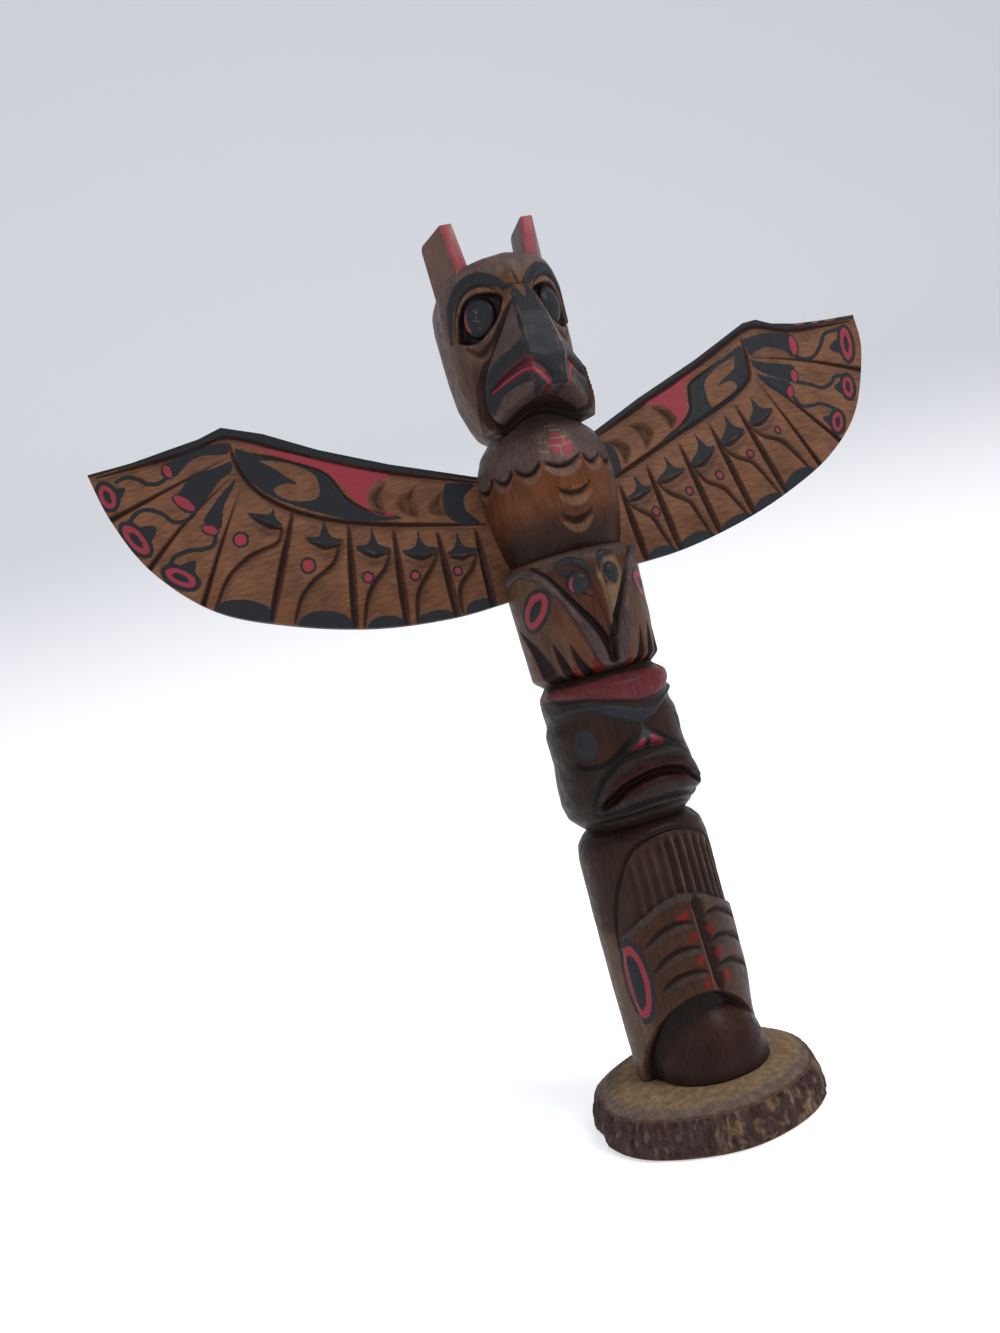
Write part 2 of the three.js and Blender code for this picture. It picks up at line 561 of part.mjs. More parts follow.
// The slot in the pole that takes the inner end of a wing, with clearance all round.
function slot(plan) {
  const [low, high] = [plan.lower[plan.lower.length - 1][1], plan.top[0][1]];
  const inner = ROOT - GAP;
  const outer = 60;
  const upper = (across) => [across, high + (across - plan.top[0][0]) * 0.44 + GAP];
  const outline = [[inner, low - 2 * GAP], [outer, low - 2 * GAP], upper(outer), upper(inner)];
  return slab(boardFace(plan.side), outline, GAP, -BOARD - GAP);
}

// ---- the pole and its base ----------------------------------------------------------------
function pole() {
  const whole = joined(lower(), mask(), hawk(), breast(), head());
  return carved(whole, slot(WINGS.left), slot(WINGS.right));
}

// A slice of branch with its bark on: not quite round, widest at its front left, notched
// on the left, with a sloping rim.
const BARK_SIDES = 28;
const BARK_NOTCH = { turn: -92, depth: 0.05, half: 9 };
const bark = (turn) => 1 + 0.026 * Math.cos((turn + 45) * DEGREE) + 0.012 * Math.sin(3 * turn * DEGREE)
  + 0.007 * Math.sin(7 * turn * DEGREE + 2)
  - BARK_NOTCH.depth * Math.exp(-(((turn - BARK_NOTCH.turn) / BARK_NOTCH.half) ** 2));

function base() {
  const levels = [
    [0, BASE_RADIUS + 0.4], [2, BASE_RADIUS + 1.6], [9, BASE_RADIUS + 0.8], [14, BASE_RADIUS - 0.8],
    [16.4, BASE_RADIUS - 2.2], [BASE_HEIGHT - 1.4, BASE_RADIUS - 9.5], [BASE_HEIGHT, BASE_RADIUS - 19],
  ];
  return skinned(levels.map(([height, radius]) => Array.from({ length: BARK_SIDES }, (_, i) => {
    const turn = (i * 360) / BARK_SIDES - 180;
    return polar(turn, height, radius * bark(turn));
  })));
}

const totem = new THREE.Group();
totem.add(
  part('pole', pole(), 0x5a3522, 0.42),
  part('wing_left', wing(WINGS.left), 0xa5602c, 0.55),
  part('wing_right', wing(WINGS.right), 0xa5602c, 0.55),
  part('base', base(), 0x8a7154, 0.85),
);

export default totem;
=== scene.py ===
"""Totem pole: a carved and painted pole of stacked figures with two spread wings, on a slice of branch.

Heights, sides and depths are in millimetres in the part's own frame: +Z up, the figures face -Y,
+X to the right of someone who looks at them. Each carved skin is worked as a flat sheet of
(across, up) on which strokes cut, raise and paint; it is then bent round the pole or laid on a board.
"""
import math

import bmesh
import bpy
import numpy as np
from bpy.props import FloatProperty, FloatVectorProperty, PointerProperty
from mathutils import Matrix, Vector


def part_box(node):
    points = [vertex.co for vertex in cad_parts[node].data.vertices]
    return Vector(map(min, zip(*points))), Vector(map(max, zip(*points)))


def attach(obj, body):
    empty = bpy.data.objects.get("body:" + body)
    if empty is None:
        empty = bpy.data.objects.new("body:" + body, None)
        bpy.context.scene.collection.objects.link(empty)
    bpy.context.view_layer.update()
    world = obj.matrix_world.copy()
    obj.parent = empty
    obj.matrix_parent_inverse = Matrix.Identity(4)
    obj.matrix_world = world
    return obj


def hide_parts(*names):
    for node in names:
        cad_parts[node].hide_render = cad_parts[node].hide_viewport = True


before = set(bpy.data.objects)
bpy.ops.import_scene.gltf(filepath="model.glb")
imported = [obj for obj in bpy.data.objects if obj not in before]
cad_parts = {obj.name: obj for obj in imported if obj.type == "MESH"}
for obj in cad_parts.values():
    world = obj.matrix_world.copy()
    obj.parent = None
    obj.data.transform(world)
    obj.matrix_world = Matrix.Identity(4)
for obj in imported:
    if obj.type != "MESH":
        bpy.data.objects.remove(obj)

bl_info = {
    "name": "Totem Pole",
    "version": (1, 0, 0),
    "blender": (4, 5, 0),
    "location": "View3D > Sidebar > Totem",
    "description": "Builds a carved and painted totem pole with spread wings on its base",
    "category": "Object",
}

MM = 0.001
DEGREE = math.pi / 180
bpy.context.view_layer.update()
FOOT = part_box("pole")[0].z / MM  # the pole stands on the base here
BASE_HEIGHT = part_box("base")[1].z / MM
UNPAINTED = -9.0  # how far inside the border of a coat bare wood counts as lying
MEAN_RADIUS = 32.5  # turns degrees into millimetres along the pole's skin
ARC = MEAN_RADIUS * DEGREE


def srgb(red, green, blue):
    """A colour given as 0 to 255 on a screen, as the linear light that shaders use."""
    shares = (red / 255, green / 255, blue / 255)
    return tuple(((c + 0.055) / 1.055) ** 2.4 if c > 0.04 else c / 12.92 for c in shares)


# Stains of the wood, from light to dark.
CREAM = srgb(196, 176, 148)
TAN = srgb(158, 114, 76)
ORANGE_BROWN = srgb(132, 82, 48)
GREY_BROWN = srgb(108, 88, 80)
BROWN = srgb(92, 60, 44)
RED_BROWN = srgb(70, 42, 33)
GREYED = srgb(106, 88, 84)
DARK = srgb(36, 24, 21)


# ---- what a user can change ------------------------------------------------------------
class TotemSettings(bpy.types.PropertyGroup):
    """Sizes and colours of the totem pole"""

    fineness: FloatProperty(
        name="Carving Fineness", description="Distance between the points of the carved skins",
        default=0.5 * MM, min=0.35 * MM, max=3 * MM, unit="LENGTH", precision=5)
    knife_marks: FloatProperty(
        name="Knife Marks", description="Height of the slow unevenness that the knife left",
        default=0.14 * MM, min=0, max=1 * MM, unit="LENGTH", precision=5)
    board: FloatProperty(
        name="Wing Thickness", description="Thickness of the two wing boards",
        default=7 * MM, min=2 * MM, max=7 * MM, unit="LENGTH", precision=4)
    brow_rise: FloatProperty(
        name="Brow Height", description="How far the eagle's brows stand out",
        default=1.0 * MM, min=0, max=1.3 * MM, unit="LENGTH", precision=5)
    bark_depth: FloatProperty(
        name="Bark Roughness", description="Depth of the furrows in the bark",
        default=0.5 * MM, min=0, max=1 * MM, unit="LENGTH", precision=5)
    stain_depth: FloatProperty(
        name="Stain Depth", description="How dark the oiled stain leaves the wood",
        default=0.58, min=0, max=0.9, subtype="FACTOR")
    wear: FloatProperty(
        name="Wear", description="How far paint and stain have rubbed off the edges",
        default=0.4, min=0, max=1, subtype="FACTOR")
    varnish: FloatProperty(
        name="Varnish", description="Gloss of the pole, from matt to shiny",
        default=0.6, min=0, max=1, subtype="FACTOR")
    black: FloatVectorProperty(
        name="Black Paint", description="Colour of the black paint",
        default=srgb(33, 35, 38), min=0, max=1, size=3, subtype="COLOR")
    red: FloatVectorProperty(
        name="Red Paint", description="Colour of the red paint",
        default=srgb(124, 46, 54), min=0, max=1, size=3, subtype="COLOR")
    bark: FloatVectorProperty(
        name="Bark", description="Colour of the bark round the base",
        default=srgb(66, 50, 47), min=0, max=1, size=3, subtype="COLOR")
    raw_wood: FloatVectorProperty(
        name="Sawn Wood", description="Colour of the sawn top of the base",
        default=srgb(128, 106, 80), min=0, max=1, size=3, subtype="COLOR")


class TotemStageSettings(bpy.types.PropertyGroup):
    """Light and backdrop of the totem pole"""

    key_power: FloatProperty(
        name="Key Light", description="Power of the large light at the upper right",
        default=22, min=0, max=500, unit="POWER")
    fill_power: FloatProperty(
        name="Fill Light", description="Power of the light at the left",
        default=5, min=0, max=500, unit="POWER")
    floor: FloatVectorProperty(
        name="Floor", description="Colour of the floor",
        default=(0.95, 0.95, 0.96), min=0, max=1, size=3, subtype="COLOR")
    backdrop: FloatVectorProperty(
        name="Backdrop", description="Colour of the backdrop behind the pole",
        default=srgb(190, 191, 195), min=0, max=1, size=3, subtype="COLOR")


# ---- strokes ---------------------------------------------------------------------------
# A stroke's run says how wide it is, from 0 to 1, at each share t of its length.
def arched(ends, power):
    """A run that is full in its middle and that thin at both ends."""
    return lambda t: ends + (1 - ends) * np.sin(np.pi * t) ** power


def widening(start):
    """A run that is that thin where it starts and full where it ends."""
    return lambda t: start + (1 - start) * t


swell, rounded, widen = arched(0.06, 0.7), arched(0.2, 0.5), widening(0.08)


def quill(t):
    """Pointed at the start, widest past the middle and a little narrower at the end."""
    return 0.08 + 0.92 * np.sin(np.pi * np.minimum(t * 0.8, 1)) ** 0.8


def even(t):
    """The same all along, but for short tapers at the two ends."""
    return 0.35 + 0.65 * np.minimum(1, 8 * np.minimum(t, 1 - t))


def steady(t):
    """The same all along."""
    return np.ones_like(t)


def curve(points, parts=28):
    """A smooth line through the points, as that many short straight parts."""
    points = np.asarray(points, float)
    last = len(points) - 1
    t = np.linspace(0, last, parts + 1)
    i = np.minimum(t.astype(int), last - 1)
    f = (t - i)[:, None]
    a, b, c, d = (points[np.clip(i + k, 0, last)] for k in (-1, 0, 1, 2))
    v0, v1 = (c - a) / 2, (d - b) / 2
    return (2 * b - 2 * c + v0 + v1) * f**3 + (3 * c - 3 * b - 2 * v0 - v1) * f**2 + v0 * f + b


def smooth(value, low, high):
    """0 below low and 1 above high, with a soft change between them."""
    t = np.clip((value - low) / (high - low), 0, 1)
    return t * t * (3 - 2 * t)


def soft_max(a, b, soft):
    """The larger of two surfaces, with the corner between them rounded."""
    h = np.clip(0.5 + (a - b) / (2 * soft), 0, 1)
    return b + (a - b) * h + soft * h * (1 - h)


def soft_min(a, b, soft):
    """The smaller of two surfaces, with the corner between them rounded."""
    return -soft_max(-a, -b, soft)


def ripple(across, up, size, seed, stretch=1.0):
    """Slow unevenness: a few crossed waves about that many millimetres long."""
    chance = np.random.default_rng(seed)
    total = 0
    for _ in range(6):
        angle, phase = chance.uniform(0, 2 * np.pi, 2)
        length = size * chance.uniform(0.6, 1.7)
        way = across * np.cos(angle) + up * np.sin(angle) / stretch
        total = total + np.sin(way * 2 * np.pi / length + phase)
    return total / 6


def blurred(sheet, reach):
    """The sheet averaged over that many rows and columns each way."""
    for axis in (0, 1):
        pad = [(0, 0), (0, 0)]
        pad[axis] = (reach + 1, reach)
        total = np.cumsum(np.pad(sheet, pad, mode="edge"), axis=axis)
        upper = np.take(total, range(2 * reach + 1, total.shape[axis]), axis=axis)
        lower = np.take(total, range(0, total.shape[axis] - 2 * reach - 1), axis=axis)
        sheet = (upper - lower) / (2 * reach + 1)
    return sheet


def on_side(side, path, middle=0.0):
    """A path drawn for the left (-1) of a figure's middle, on that side of it."""
    return [(middle - side * turn, height) for turn, height in path]


def mirrored(path, middle):
    """The same path on the other side of a figure whose middle is turned by middle degrees."""
    return [(2 * middle - turn, height) for turn, height in path]


def shifted(path, rise, out=0.0):
    """The same path moved up and outwards."""
    return [(across + out, height + rise) for across, height in path]


class Carving:
    """A sheet of skin being worked: relief in millimetres, coats of paint, and under them the stain with
    painted shade and highlights laid into it.

    Paint is kept as the distance inside its border, so that the border stays crisp."""

    def __init__(self, across, up, scale, stain):
        self.shape = across.shape
        self.across, self.up, self.scale = across.ravel(), up.ravel(), scale
        self.relief = np.zeros(self.across.size)
        self.coats = {name: np.full(self.across.size, UNPAINTED) for name in ("black", "red")}
        self.stain = np.tile(np.asarray(stain, float), (self.across.size, 1))

    def line(self, path, parts=28):
        """A path of turns and heights as a smooth line on the sheet."""
        return curve(np.asarray(path, float) * [self.scale, 1], parts)

    def around(self, line, reach):
        """Which points lie in a line's bounding box, widened by reach."""
        low, high = line.min(0) - reach, line.max(0) + reach
        return np.flatnonzero((self.across > low[0]) & (self.across < high[0])
                              & (self.up > low[1]) & (self.up < high[1]))

    def follow(self, line, reach):
        """For the points near a line: which they are, how far along it they lie, how far to its left."""
        near = self.around(line, reach)
        x, y = self.across[near], self.up[near]
        best = np.full(near.size, 1e9)
        along, left = np.zeros(near.size), np.zeros(near.size)
        for k in range(len(line) - 1):
            dx, dy = line[k + 1] - line[k]
            length = np.hypot(dx, dy)
            if length < 1e-9:
                continue
            ex, ey = x - line[k, 0], y - line[k, 1]
            t = np.clip((ex * dx + ey * dy) / length**2, 0, 1)
            gap = np.hypot(ex - t * dx, ey - t * dy)
            nearer = gap < best
            best[nearer] = gap[nearer]
            along[nearer] = ((k + t) / (len(line) - 1))[nearer]
            left[nearer] = (gap * np.sign(dx * ey - dy * ex))[nearer]
        return near, along, left

    def inside(self, outline, parts=60):
        """How far inside a closed smooth outline each point lies."""
        line = self.line([*outline, outline[0]], parts)
        near, _, left = self.follow(line, 6)
        x, y = self.across[near], self.up[near]
        crossings = np.zeros(near.size, int)
        for (ax, ay), (bx, by) in zip(line[:-1], line[1:]):
            spans = (ay > y) != (by > y)
            crossings += spans & (x < ax + (y - ay) * (bx - ax) / (by - ay if by != ay else 1e-9))
        return near, np.abs(left) * np.where(crossings % 2 == 1, 1, -1)

    def groove(self, path, half, depth, run=swell, deepest=0.0, soft=0.2, colour=None):
        """A V-shaped cut. deepest, from -1 to 1, is where its bottom lies between its edges."""
        near, along, left = self.follow(self.line(path), half + 2.5)
        wide, deep = half * run(along), depth * run(along)
        bottom = deepest * wide
        to_bottom = np.abs(left - bottom)
        wall = to_bottom / np.where(left < bottom, wide + bottom, wide - bottom)
        self.relief[near] = soft_min(self.relief[near], deep * (wall - 1), soft)
        if colour is not None:
            self.blend(near, colour, smooth(wide - np.abs(left), -0.4, 0.5))

    def ridge(self, path, half, rise, run=swell, crown=0.55, soft=0.35, sink=3.0):
        """A raised band with sloping shoulders."""
        near, along, left = self.follow(self.line(path), half + 2.5)
        shoulder = np.clip((np.abs(left) / (half * run(along)) - crown) / (1 - crown), 0, 3)
        self.relief[near] = soft_max(self.relief[near], rise - (rise + sink) * shoulder, soft)

    def raised(self, outline, rise, shoulder=1.2, soft=0.3):
        """A raised patch inside an outline."""
        near, depth = self.inside(outline)
        patch = rise - (rise + 3) * smooth(-depth, -shoulder, 0.4)
        self.relief[near] = soft_max(self.relief[near], patch, soft)

    def sunk(self, outline, depth_at, slope=1.6):
        """A patch cut back inside an outline."""
        near, depth = self.inside(outline)
        self.relief[near] = np.minimum(self.relief[near], -depth_at * smooth(depth, -0.3, slope))

    def egg(self, turn, height, wide, tall, tilt=0.0):
        """How far inside the rim of an egg shape each point lies."""
        x, y = self.across - turn * self.scale, self.up - height
        c, s = np.cos(tilt * DEGREE), np.sin(tilt * DEGREE)
        return (1 - np.hypot((x * c - y * s) / wide, (x * s + y * c) / tall)) * min(wide, tall)

    def ball(self, turn, height, wide, tall, thick, rise=0.0, soft=0.15):
        """A ball or egg set in the skin."""
        x, y = self.across - turn * self.scale, self.up - height
        inside = 1 - (x / wide) ** 2 - (y / tall) ** 2
        near = np.flatnonzero(inside > 0)
        self.relief[near] = soft_max(self.relief[near], rise + thick * np.sqrt(inside[near]), soft)

    def paint(self, coat, depth, near=slice(None)):
        """Paint that reaches that far past each of the points near."""
        self.coats[coat][near] = np.maximum(self.coats[coat][near], depth)

    def spare(self, coat, depth, near=slice(None)):
        """A place that the paint leaves free, which reaches that far past each of the points near."""
        self.coats[coat][near] = np.minimum(self.coats[coat][near], -depth)

    def unpaint(self, where):
        """No paint at all on these points."""
        for coat in self.coats.values():
            coat[where] = UNPAINTED

    def oval(self, coat, *egg):
        """Paint in an egg shape."""
        self.paint(coat, self.egg(*egg))

    def bare_oval(self, coat, *egg):
        """An egg shape that the paint leaves free."""
        self.spare(coat, self.egg(*egg))

    def stroke(self, coat, path, half, run=swell):
        """A brush stroke of paint."""
        near, along, left = self.follow(self.line(path), half + 4)
        self.paint(coat, half * run(along) - np.abs(left), near)

    def scratch(self, coat, path, half):
        """A thin line where the paint is rubbed off."""
        near, _, left = self.follow(self.line(path), 3)
        self.spare(coat, half - np.abs(left), near)

    def fill(self, coat, outline, parts=60):
        """Paint laid inside an outline."""
        near, depth = self.inside(outline, parts)
        self.paint(coat, depth, near)

    def bare(self, coat, outline, parts=60):
        """A place inside an outline that the paint leaves free."""
        near, depth = self.inside(outline, parts)
        self.spare(coat, depth, near)

    def blend(self, near, colour, amount):
        """Colour rubbed on at the points near, by amounts from 0 to 1: stain, and painted shade and
        highlights too.
        """
        self.stain[near] += (np.asarray(colour, float) - self.stain[near]) * np.asarray(amount)[:, None]

    def tint(self, colour, amount):
        """Colour rubbed on by that amount at every point: stain, and painted shade and highlights too."""
        self.blend(slice(None), colour, np.broadcast_to(amount, self.across.shape))

    def dye(self, outline, colour, amount=1.0, soft=0.8):
        """Stain inside an outline."""
        near, depth = self.inside(outline)
        self.blend(near, colour, amount * smooth(depth, -soft, soft))

    def stain_and_light_line(self, path, half, colour, amount=1.0, soft=0.6, run=even):
        """A line of colour: stain, and also painted shade and painted highlights along cuts."""
        near, along, left = self.follow(self.line(path), half + 2)
        self.blend(near, colour, amount * smooth(half * run(along) - np.abs(left), -soft, soft))

    def sheet(self, values):
        """Values of the points, as rows and columns."""
        return values.reshape(*self.shape, *values.shape[1:])

    def hollowness(self, surface, reach=4):
        """How far each point lies below (-) or above (+) the skin around it."""
        surface = self.sheet(surface.ravel())
        return surface - blurred(surface, reach)


# ---- from a sheet to a mesh -------------------------------------------------------------
WELD = 1e-6  # metres; points of a sheet that end up nearer than this become one


def sheet_mesh(name, points, layers, stain):
    """A grid of points, rows by columns, as a closed mesh with its layers of numbers and its colours of stain
    and painted light.
    """
    rows, columns = points.shape[:2]
    bm = bmesh.new()
    bmesh.ops.create_grid(bm, x_segments=columns - 1, y_segments=rows - 1, size=1)
    mesh = bpy.data.meshes.new(name)
    bm.to_mesh(mesh)
    bm.free()
    flat = np.empty(len(mesh.vertices) * 3)
    mesh.vertices.foreach_get("co", flat)
    flat = flat.reshape(-1, 3)
    column = np.rint((flat[:, 0] + 1) / 2 * (columns - 1)).astype(int)
    row = np.rint((flat[:, 1] + 1) / 2 * (rows - 1)).astype(int)
    order = row * columns + column
    mesh.vertices.foreach_set("co", (points.reshape(-1, 3)[order] * MM).ravel())
    for layer, values in layers.items():
        values = values.ravel()[order].astype(np.float32)
        mesh.attributes.new(layer, "FLOAT", "POINT").data.foreach_set("value", values)
    opaque = np.ones((order.size, 1))
    rgba = np.concatenate([stain.reshape(-1, 3)[order], opaque], axis=1).astype(np.float32)
    mesh.attributes.new("stain", "FLOAT_COLOR", "POINT").data.foreach_set("color", rgba.ravel())
    bm = bmesh.new()
    bm.from_mesh(mesh)
    bmesh.ops.remove_doubles(bm, verts=bm.verts, dist=WELD)
    bmesh.ops.recalc_face_normals(bm, faces=bm.faces)
    bm.to_mesh(mesh)
    bm.free()
    mesh.polygons.foreach_set("use_smooth", [True] * len(mesh.polygons))
    mesh.update()
    return mesh


def add_object(name, data):
    """A new object in the scene."""
    made = bpy.data.objects.new(name, data)
    bpy.context.scene.collection.objects.link(made)
    return made


def add_piece(name, mesh, materials, node):
    """Puts a finished mesh in the scene in place of its solid."""
    piece = add_object(name, mesh)
    for material in materials:
        mesh.materials.append(material)
    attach(piece, "root")
    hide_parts(node)
    return piece


# ---- the pole's skin --------------------------------------------------------------------
CARVED_TURN = 102  # how far round the fine columns go, each way
BACK_COLUMNS = 32  # coarse columns from there to the middle of the back, each side
CAP_SHARES = (0.9, 0.6, 0.25, 0.0)  # of the edge's distance from the axis, for the rows that close an end

# Each figure is a stack of rings: height, then how far the front, the sides and the back stand
# from the axis, and a number that squares the plan up as it grows past 2. A sixth number squares
# the back alone.
FIGURES = {
    "lower": [
        (FOOT, 30, 30.5, 30.5, 2), (37, 31, 30.8, 30.5, 2), (66, 31.6, 31.4, 30.8, 2),
        (98, 31.4, 31.6, 31, 2), (128, 31.4, 31.4, 31, 2), (135, 30, 30.2, 29.6, 2),
        (139.5, 26.6, 26.6, 26, 2), (141.5, 22.5, 23.3, 23, 2),
    ],
    "mask": [
        (140.5, 23.5, 23.3, 23, 2), (143.5, 28.5, 26.5, 26, 2.1), (148, 33.4, 31, 29.5, 2.2),
        (155, 35.6, 32.6, 30.5, 2.3), (166, 36, 32.2, 30.8, 2.3), (175, 34, 31.2, 31, 2.2),
        (189, 33.4, 31.8, 31, 2.1), (194, 34, 30, 30, 2), (201, 36.4, 30.6, 30.4, 2),
        (207, 35.8, 30.4, 30, 2), (213, 27, 26, 26, 2),
    ],
    "hawk": [
        (211.8, 26, 26, 26, 2), (216, 31.6, 31.2, 30.8, 2), (240, 32.6, 32, 31.4, 2),
        (258, 33.2, 32.6, 31.6, 2), (266, 33, 32.6, 31.6, 2), (269.5, 30.4, 31.4, 30.4, 2),
        (271, 25, 28, 28, 2),
    ],
    "breast": [
        (269, 24, 26.5, 28, 2), (275, 26.6, 28.6, 30.2, 2), (285, 30, 31, 31.6, 2),
        (297, 32.4, 32.6, 31.6, 2), (309, 33, 33.2, 31, 2), (319, 31.6, 32, 29.8, 2),
        (327, 28, 28.6, 26.8, 2), (334, 21.6, 22, 21.6, 2), (339, 17, 18, 18, 2),
    ],
    "head": [
        (333, 19, 18.6, 18, 2, 3), (335.5, 23.5, 21.4, 21, 1.9, 4), (339.5, 28, 24.5, 24, 1.9, 5),
        (346, 31, 26.4, 26.4, 1.8, 6), (358, 33.5, 29, 29.5, 1.75, 7), (372, 36, 29.8, 30.5, 1.7, 8),
        (398, 37, 30.2, 31.4, 1.7, 8), (407, 35, 29.6, 30.6, 1.75, 7), (411, 31, 27.5, 28.5, 1.9, 6),
        (412, 28, 25.5, 26.5, 2, 5),
    ],
}


def blended(table, heights, window=2.4):
    """A table's columns at each height, with the corners between its rows rounded."""
    table = np.asarray(table, float)
    offsets = np.linspace(-window / 2, window / 2, 7)
    low, high = table[0, 0], table[-1, 0]
    rows = []
    for column in table.T[1:]:
        near = [np.interp(np.clip(heights + k, low, high), table[:, 0], column) for k in offsets]
        rows.append(np.mean(near, axis=0))
    return np.array(rows).T


class Figure(Carving):
    """A carving bent round the pole, over the rings of that name. low starts it below its rings."""

    def __init__(self, name, settings, stain, low=None):
        self.name, rings = name, FIGURES[name]
        step = settings.fineness / MM
        low, high = low or rings[0][0], rings[-1][0]
        front = np.linspace(-CARVED_TURN, CARVED_TURN, round(2 * CARVED_TURN * ARC / step) + 1)
        side = np.linspace(CARVED_TURN, 180, BACK_COLUMNS)[1:]
        heights = np.linspace(low, high, round((high - low) / step) + 1)
        self.knife = settings.knife_marks / MM
        self.turn, self.height = np.meshgrid([*-side[::-1], *front, *side], heights)
        super().__init__(self.turn * ARC, self.height, ARC, stain)
        plans = [ring if len(ring) == 6 else (*ring, ring[4]) for ring in rings]
        front, sides, back, square, rear = (column[:, None] for column in blended(plans, heights).T)
        ahead, aside = np.cos(self.turn * DEGREE), np.abs(np.sin(self.turn * DEGREE))
        depth, power = np.where(ahead > 0, front, back), np.where(ahead > 0, square, rear)
        self.radius = ((np.abs(ahead) / depth) ** power + (aside / sides) ** power) ** (-1 / power)

    def worked(self):
        """How far the worked skin stands from the axis."""
        return self.radius + self.sheet(self.relief)

    def finished(self, seed, bare_top=False):
        """The worked skin as a closed mesh. A bare top is one that no other figure stands on."""
        relief = self.relief + self.knife * ripple(self.across, self.up, 9, seed)
        radius = self.radius + self.sheet(relief)
        turn = self.turn * DEGREE
        skin = np.stack([radius * np.sin(turn), -radius * np.cos(turn), self.height], axis=2)
        hollow = self.hollowness(radius)
        if bare_top:
            top = self.height.max()
            hollow = hollow * (1 - smooth(self.height, top - 4, top - 1))
        low, high = (np.array([skin[edge] * [share, share, 1] for share in CAP_SHARES]) for edge in (0, -1))

        def capped(sheet):
            first, last = (np.repeat(edge, len(CAP_SHARES), axis=0) for edge in (sheet[:1], sheet[-1:]))
            return np.concatenate([first, sheet, last])

        layers = {coat: capped(self.sheet(depth)) for coat, depth in self.coats.items()}
        layers["hollow"] = capped(hollow)
        points = np.concatenate([low[::-1], skin, high])
        return sheet_mesh(self.name, points, layers, capped(self.sheet(self.stain)))


# ---- head: an eagle with a hooked beak and two upright ears ---------------------------------
# Half of the beak's plan at each height: ridge, flank and root, each as x and y.
BEAK = ((398, 1.5, -36.4, 4, -35, 6, -30), (392, 3.5, -40, 6.5, -36, 8, -30),
        (385, 5.5, -45, 8.5, -38, 10.5, -30), (376, 6.4, -49, 10.5, -40, 13.5, -29),
        (364, 7.4, -52.4, 13, -41, 20, -28), (354, 8, -54.4, 14.5, -41, 25, -26),
        (346, 7.4, -54.4, 15, -40, 26, -24), (339, 6, -53, 14.5, -37, 26, -22),
        (333, 4, -48.5, 12, -34, 25, -19))
CHIN_ARCH = {"middle": 325.5, "half": 25.5, "rise": 16.5, "wall": 18}  # the hollow from jaw to jaw
NECK = {"radius": 19, "flare": 2.5, "bottom": 326, "top": 333}
EYE_TURN = 37.5
EYE_HEIGHT = 386.4
TIP_LEAN = 9.5  # how far the beak's tip leans to its left side, in degrees


def beak_reach(turn, height):
    """How far the beak stands from the axis at each point of the head's sheet."""
    plan = blended(BEAK[::-1], height[:, 0])
    x1, y1, x2, y2, x3, y3 = (column[:, None] for column in plan.T)
    aside, ahead = np.sin(np.abs(turn) * DEGREE), np.cos(turn * DEGREE)
    reach = -y1 / np.maximum(ahead, 0.1)
    for xa, ya, xb, yb in ((x1, y1, x2, y2), (x2, y2, x3, y3)):
        across = (xa * (yb - ya) - ya * (xb - xa)) / (aside * (yb - ya) + ahead * (xb - xa))
        reach = np.where(np.abs(turn) > np.arctan2(xa, -ya) / DEGREE, across, reach)
    beyond = np.abs(turn) > np.arctan2(x3, -y3) / DEGREE + 8
    return np.where(beyond, 0, reach - 7 * smooth(height, 391, 399))


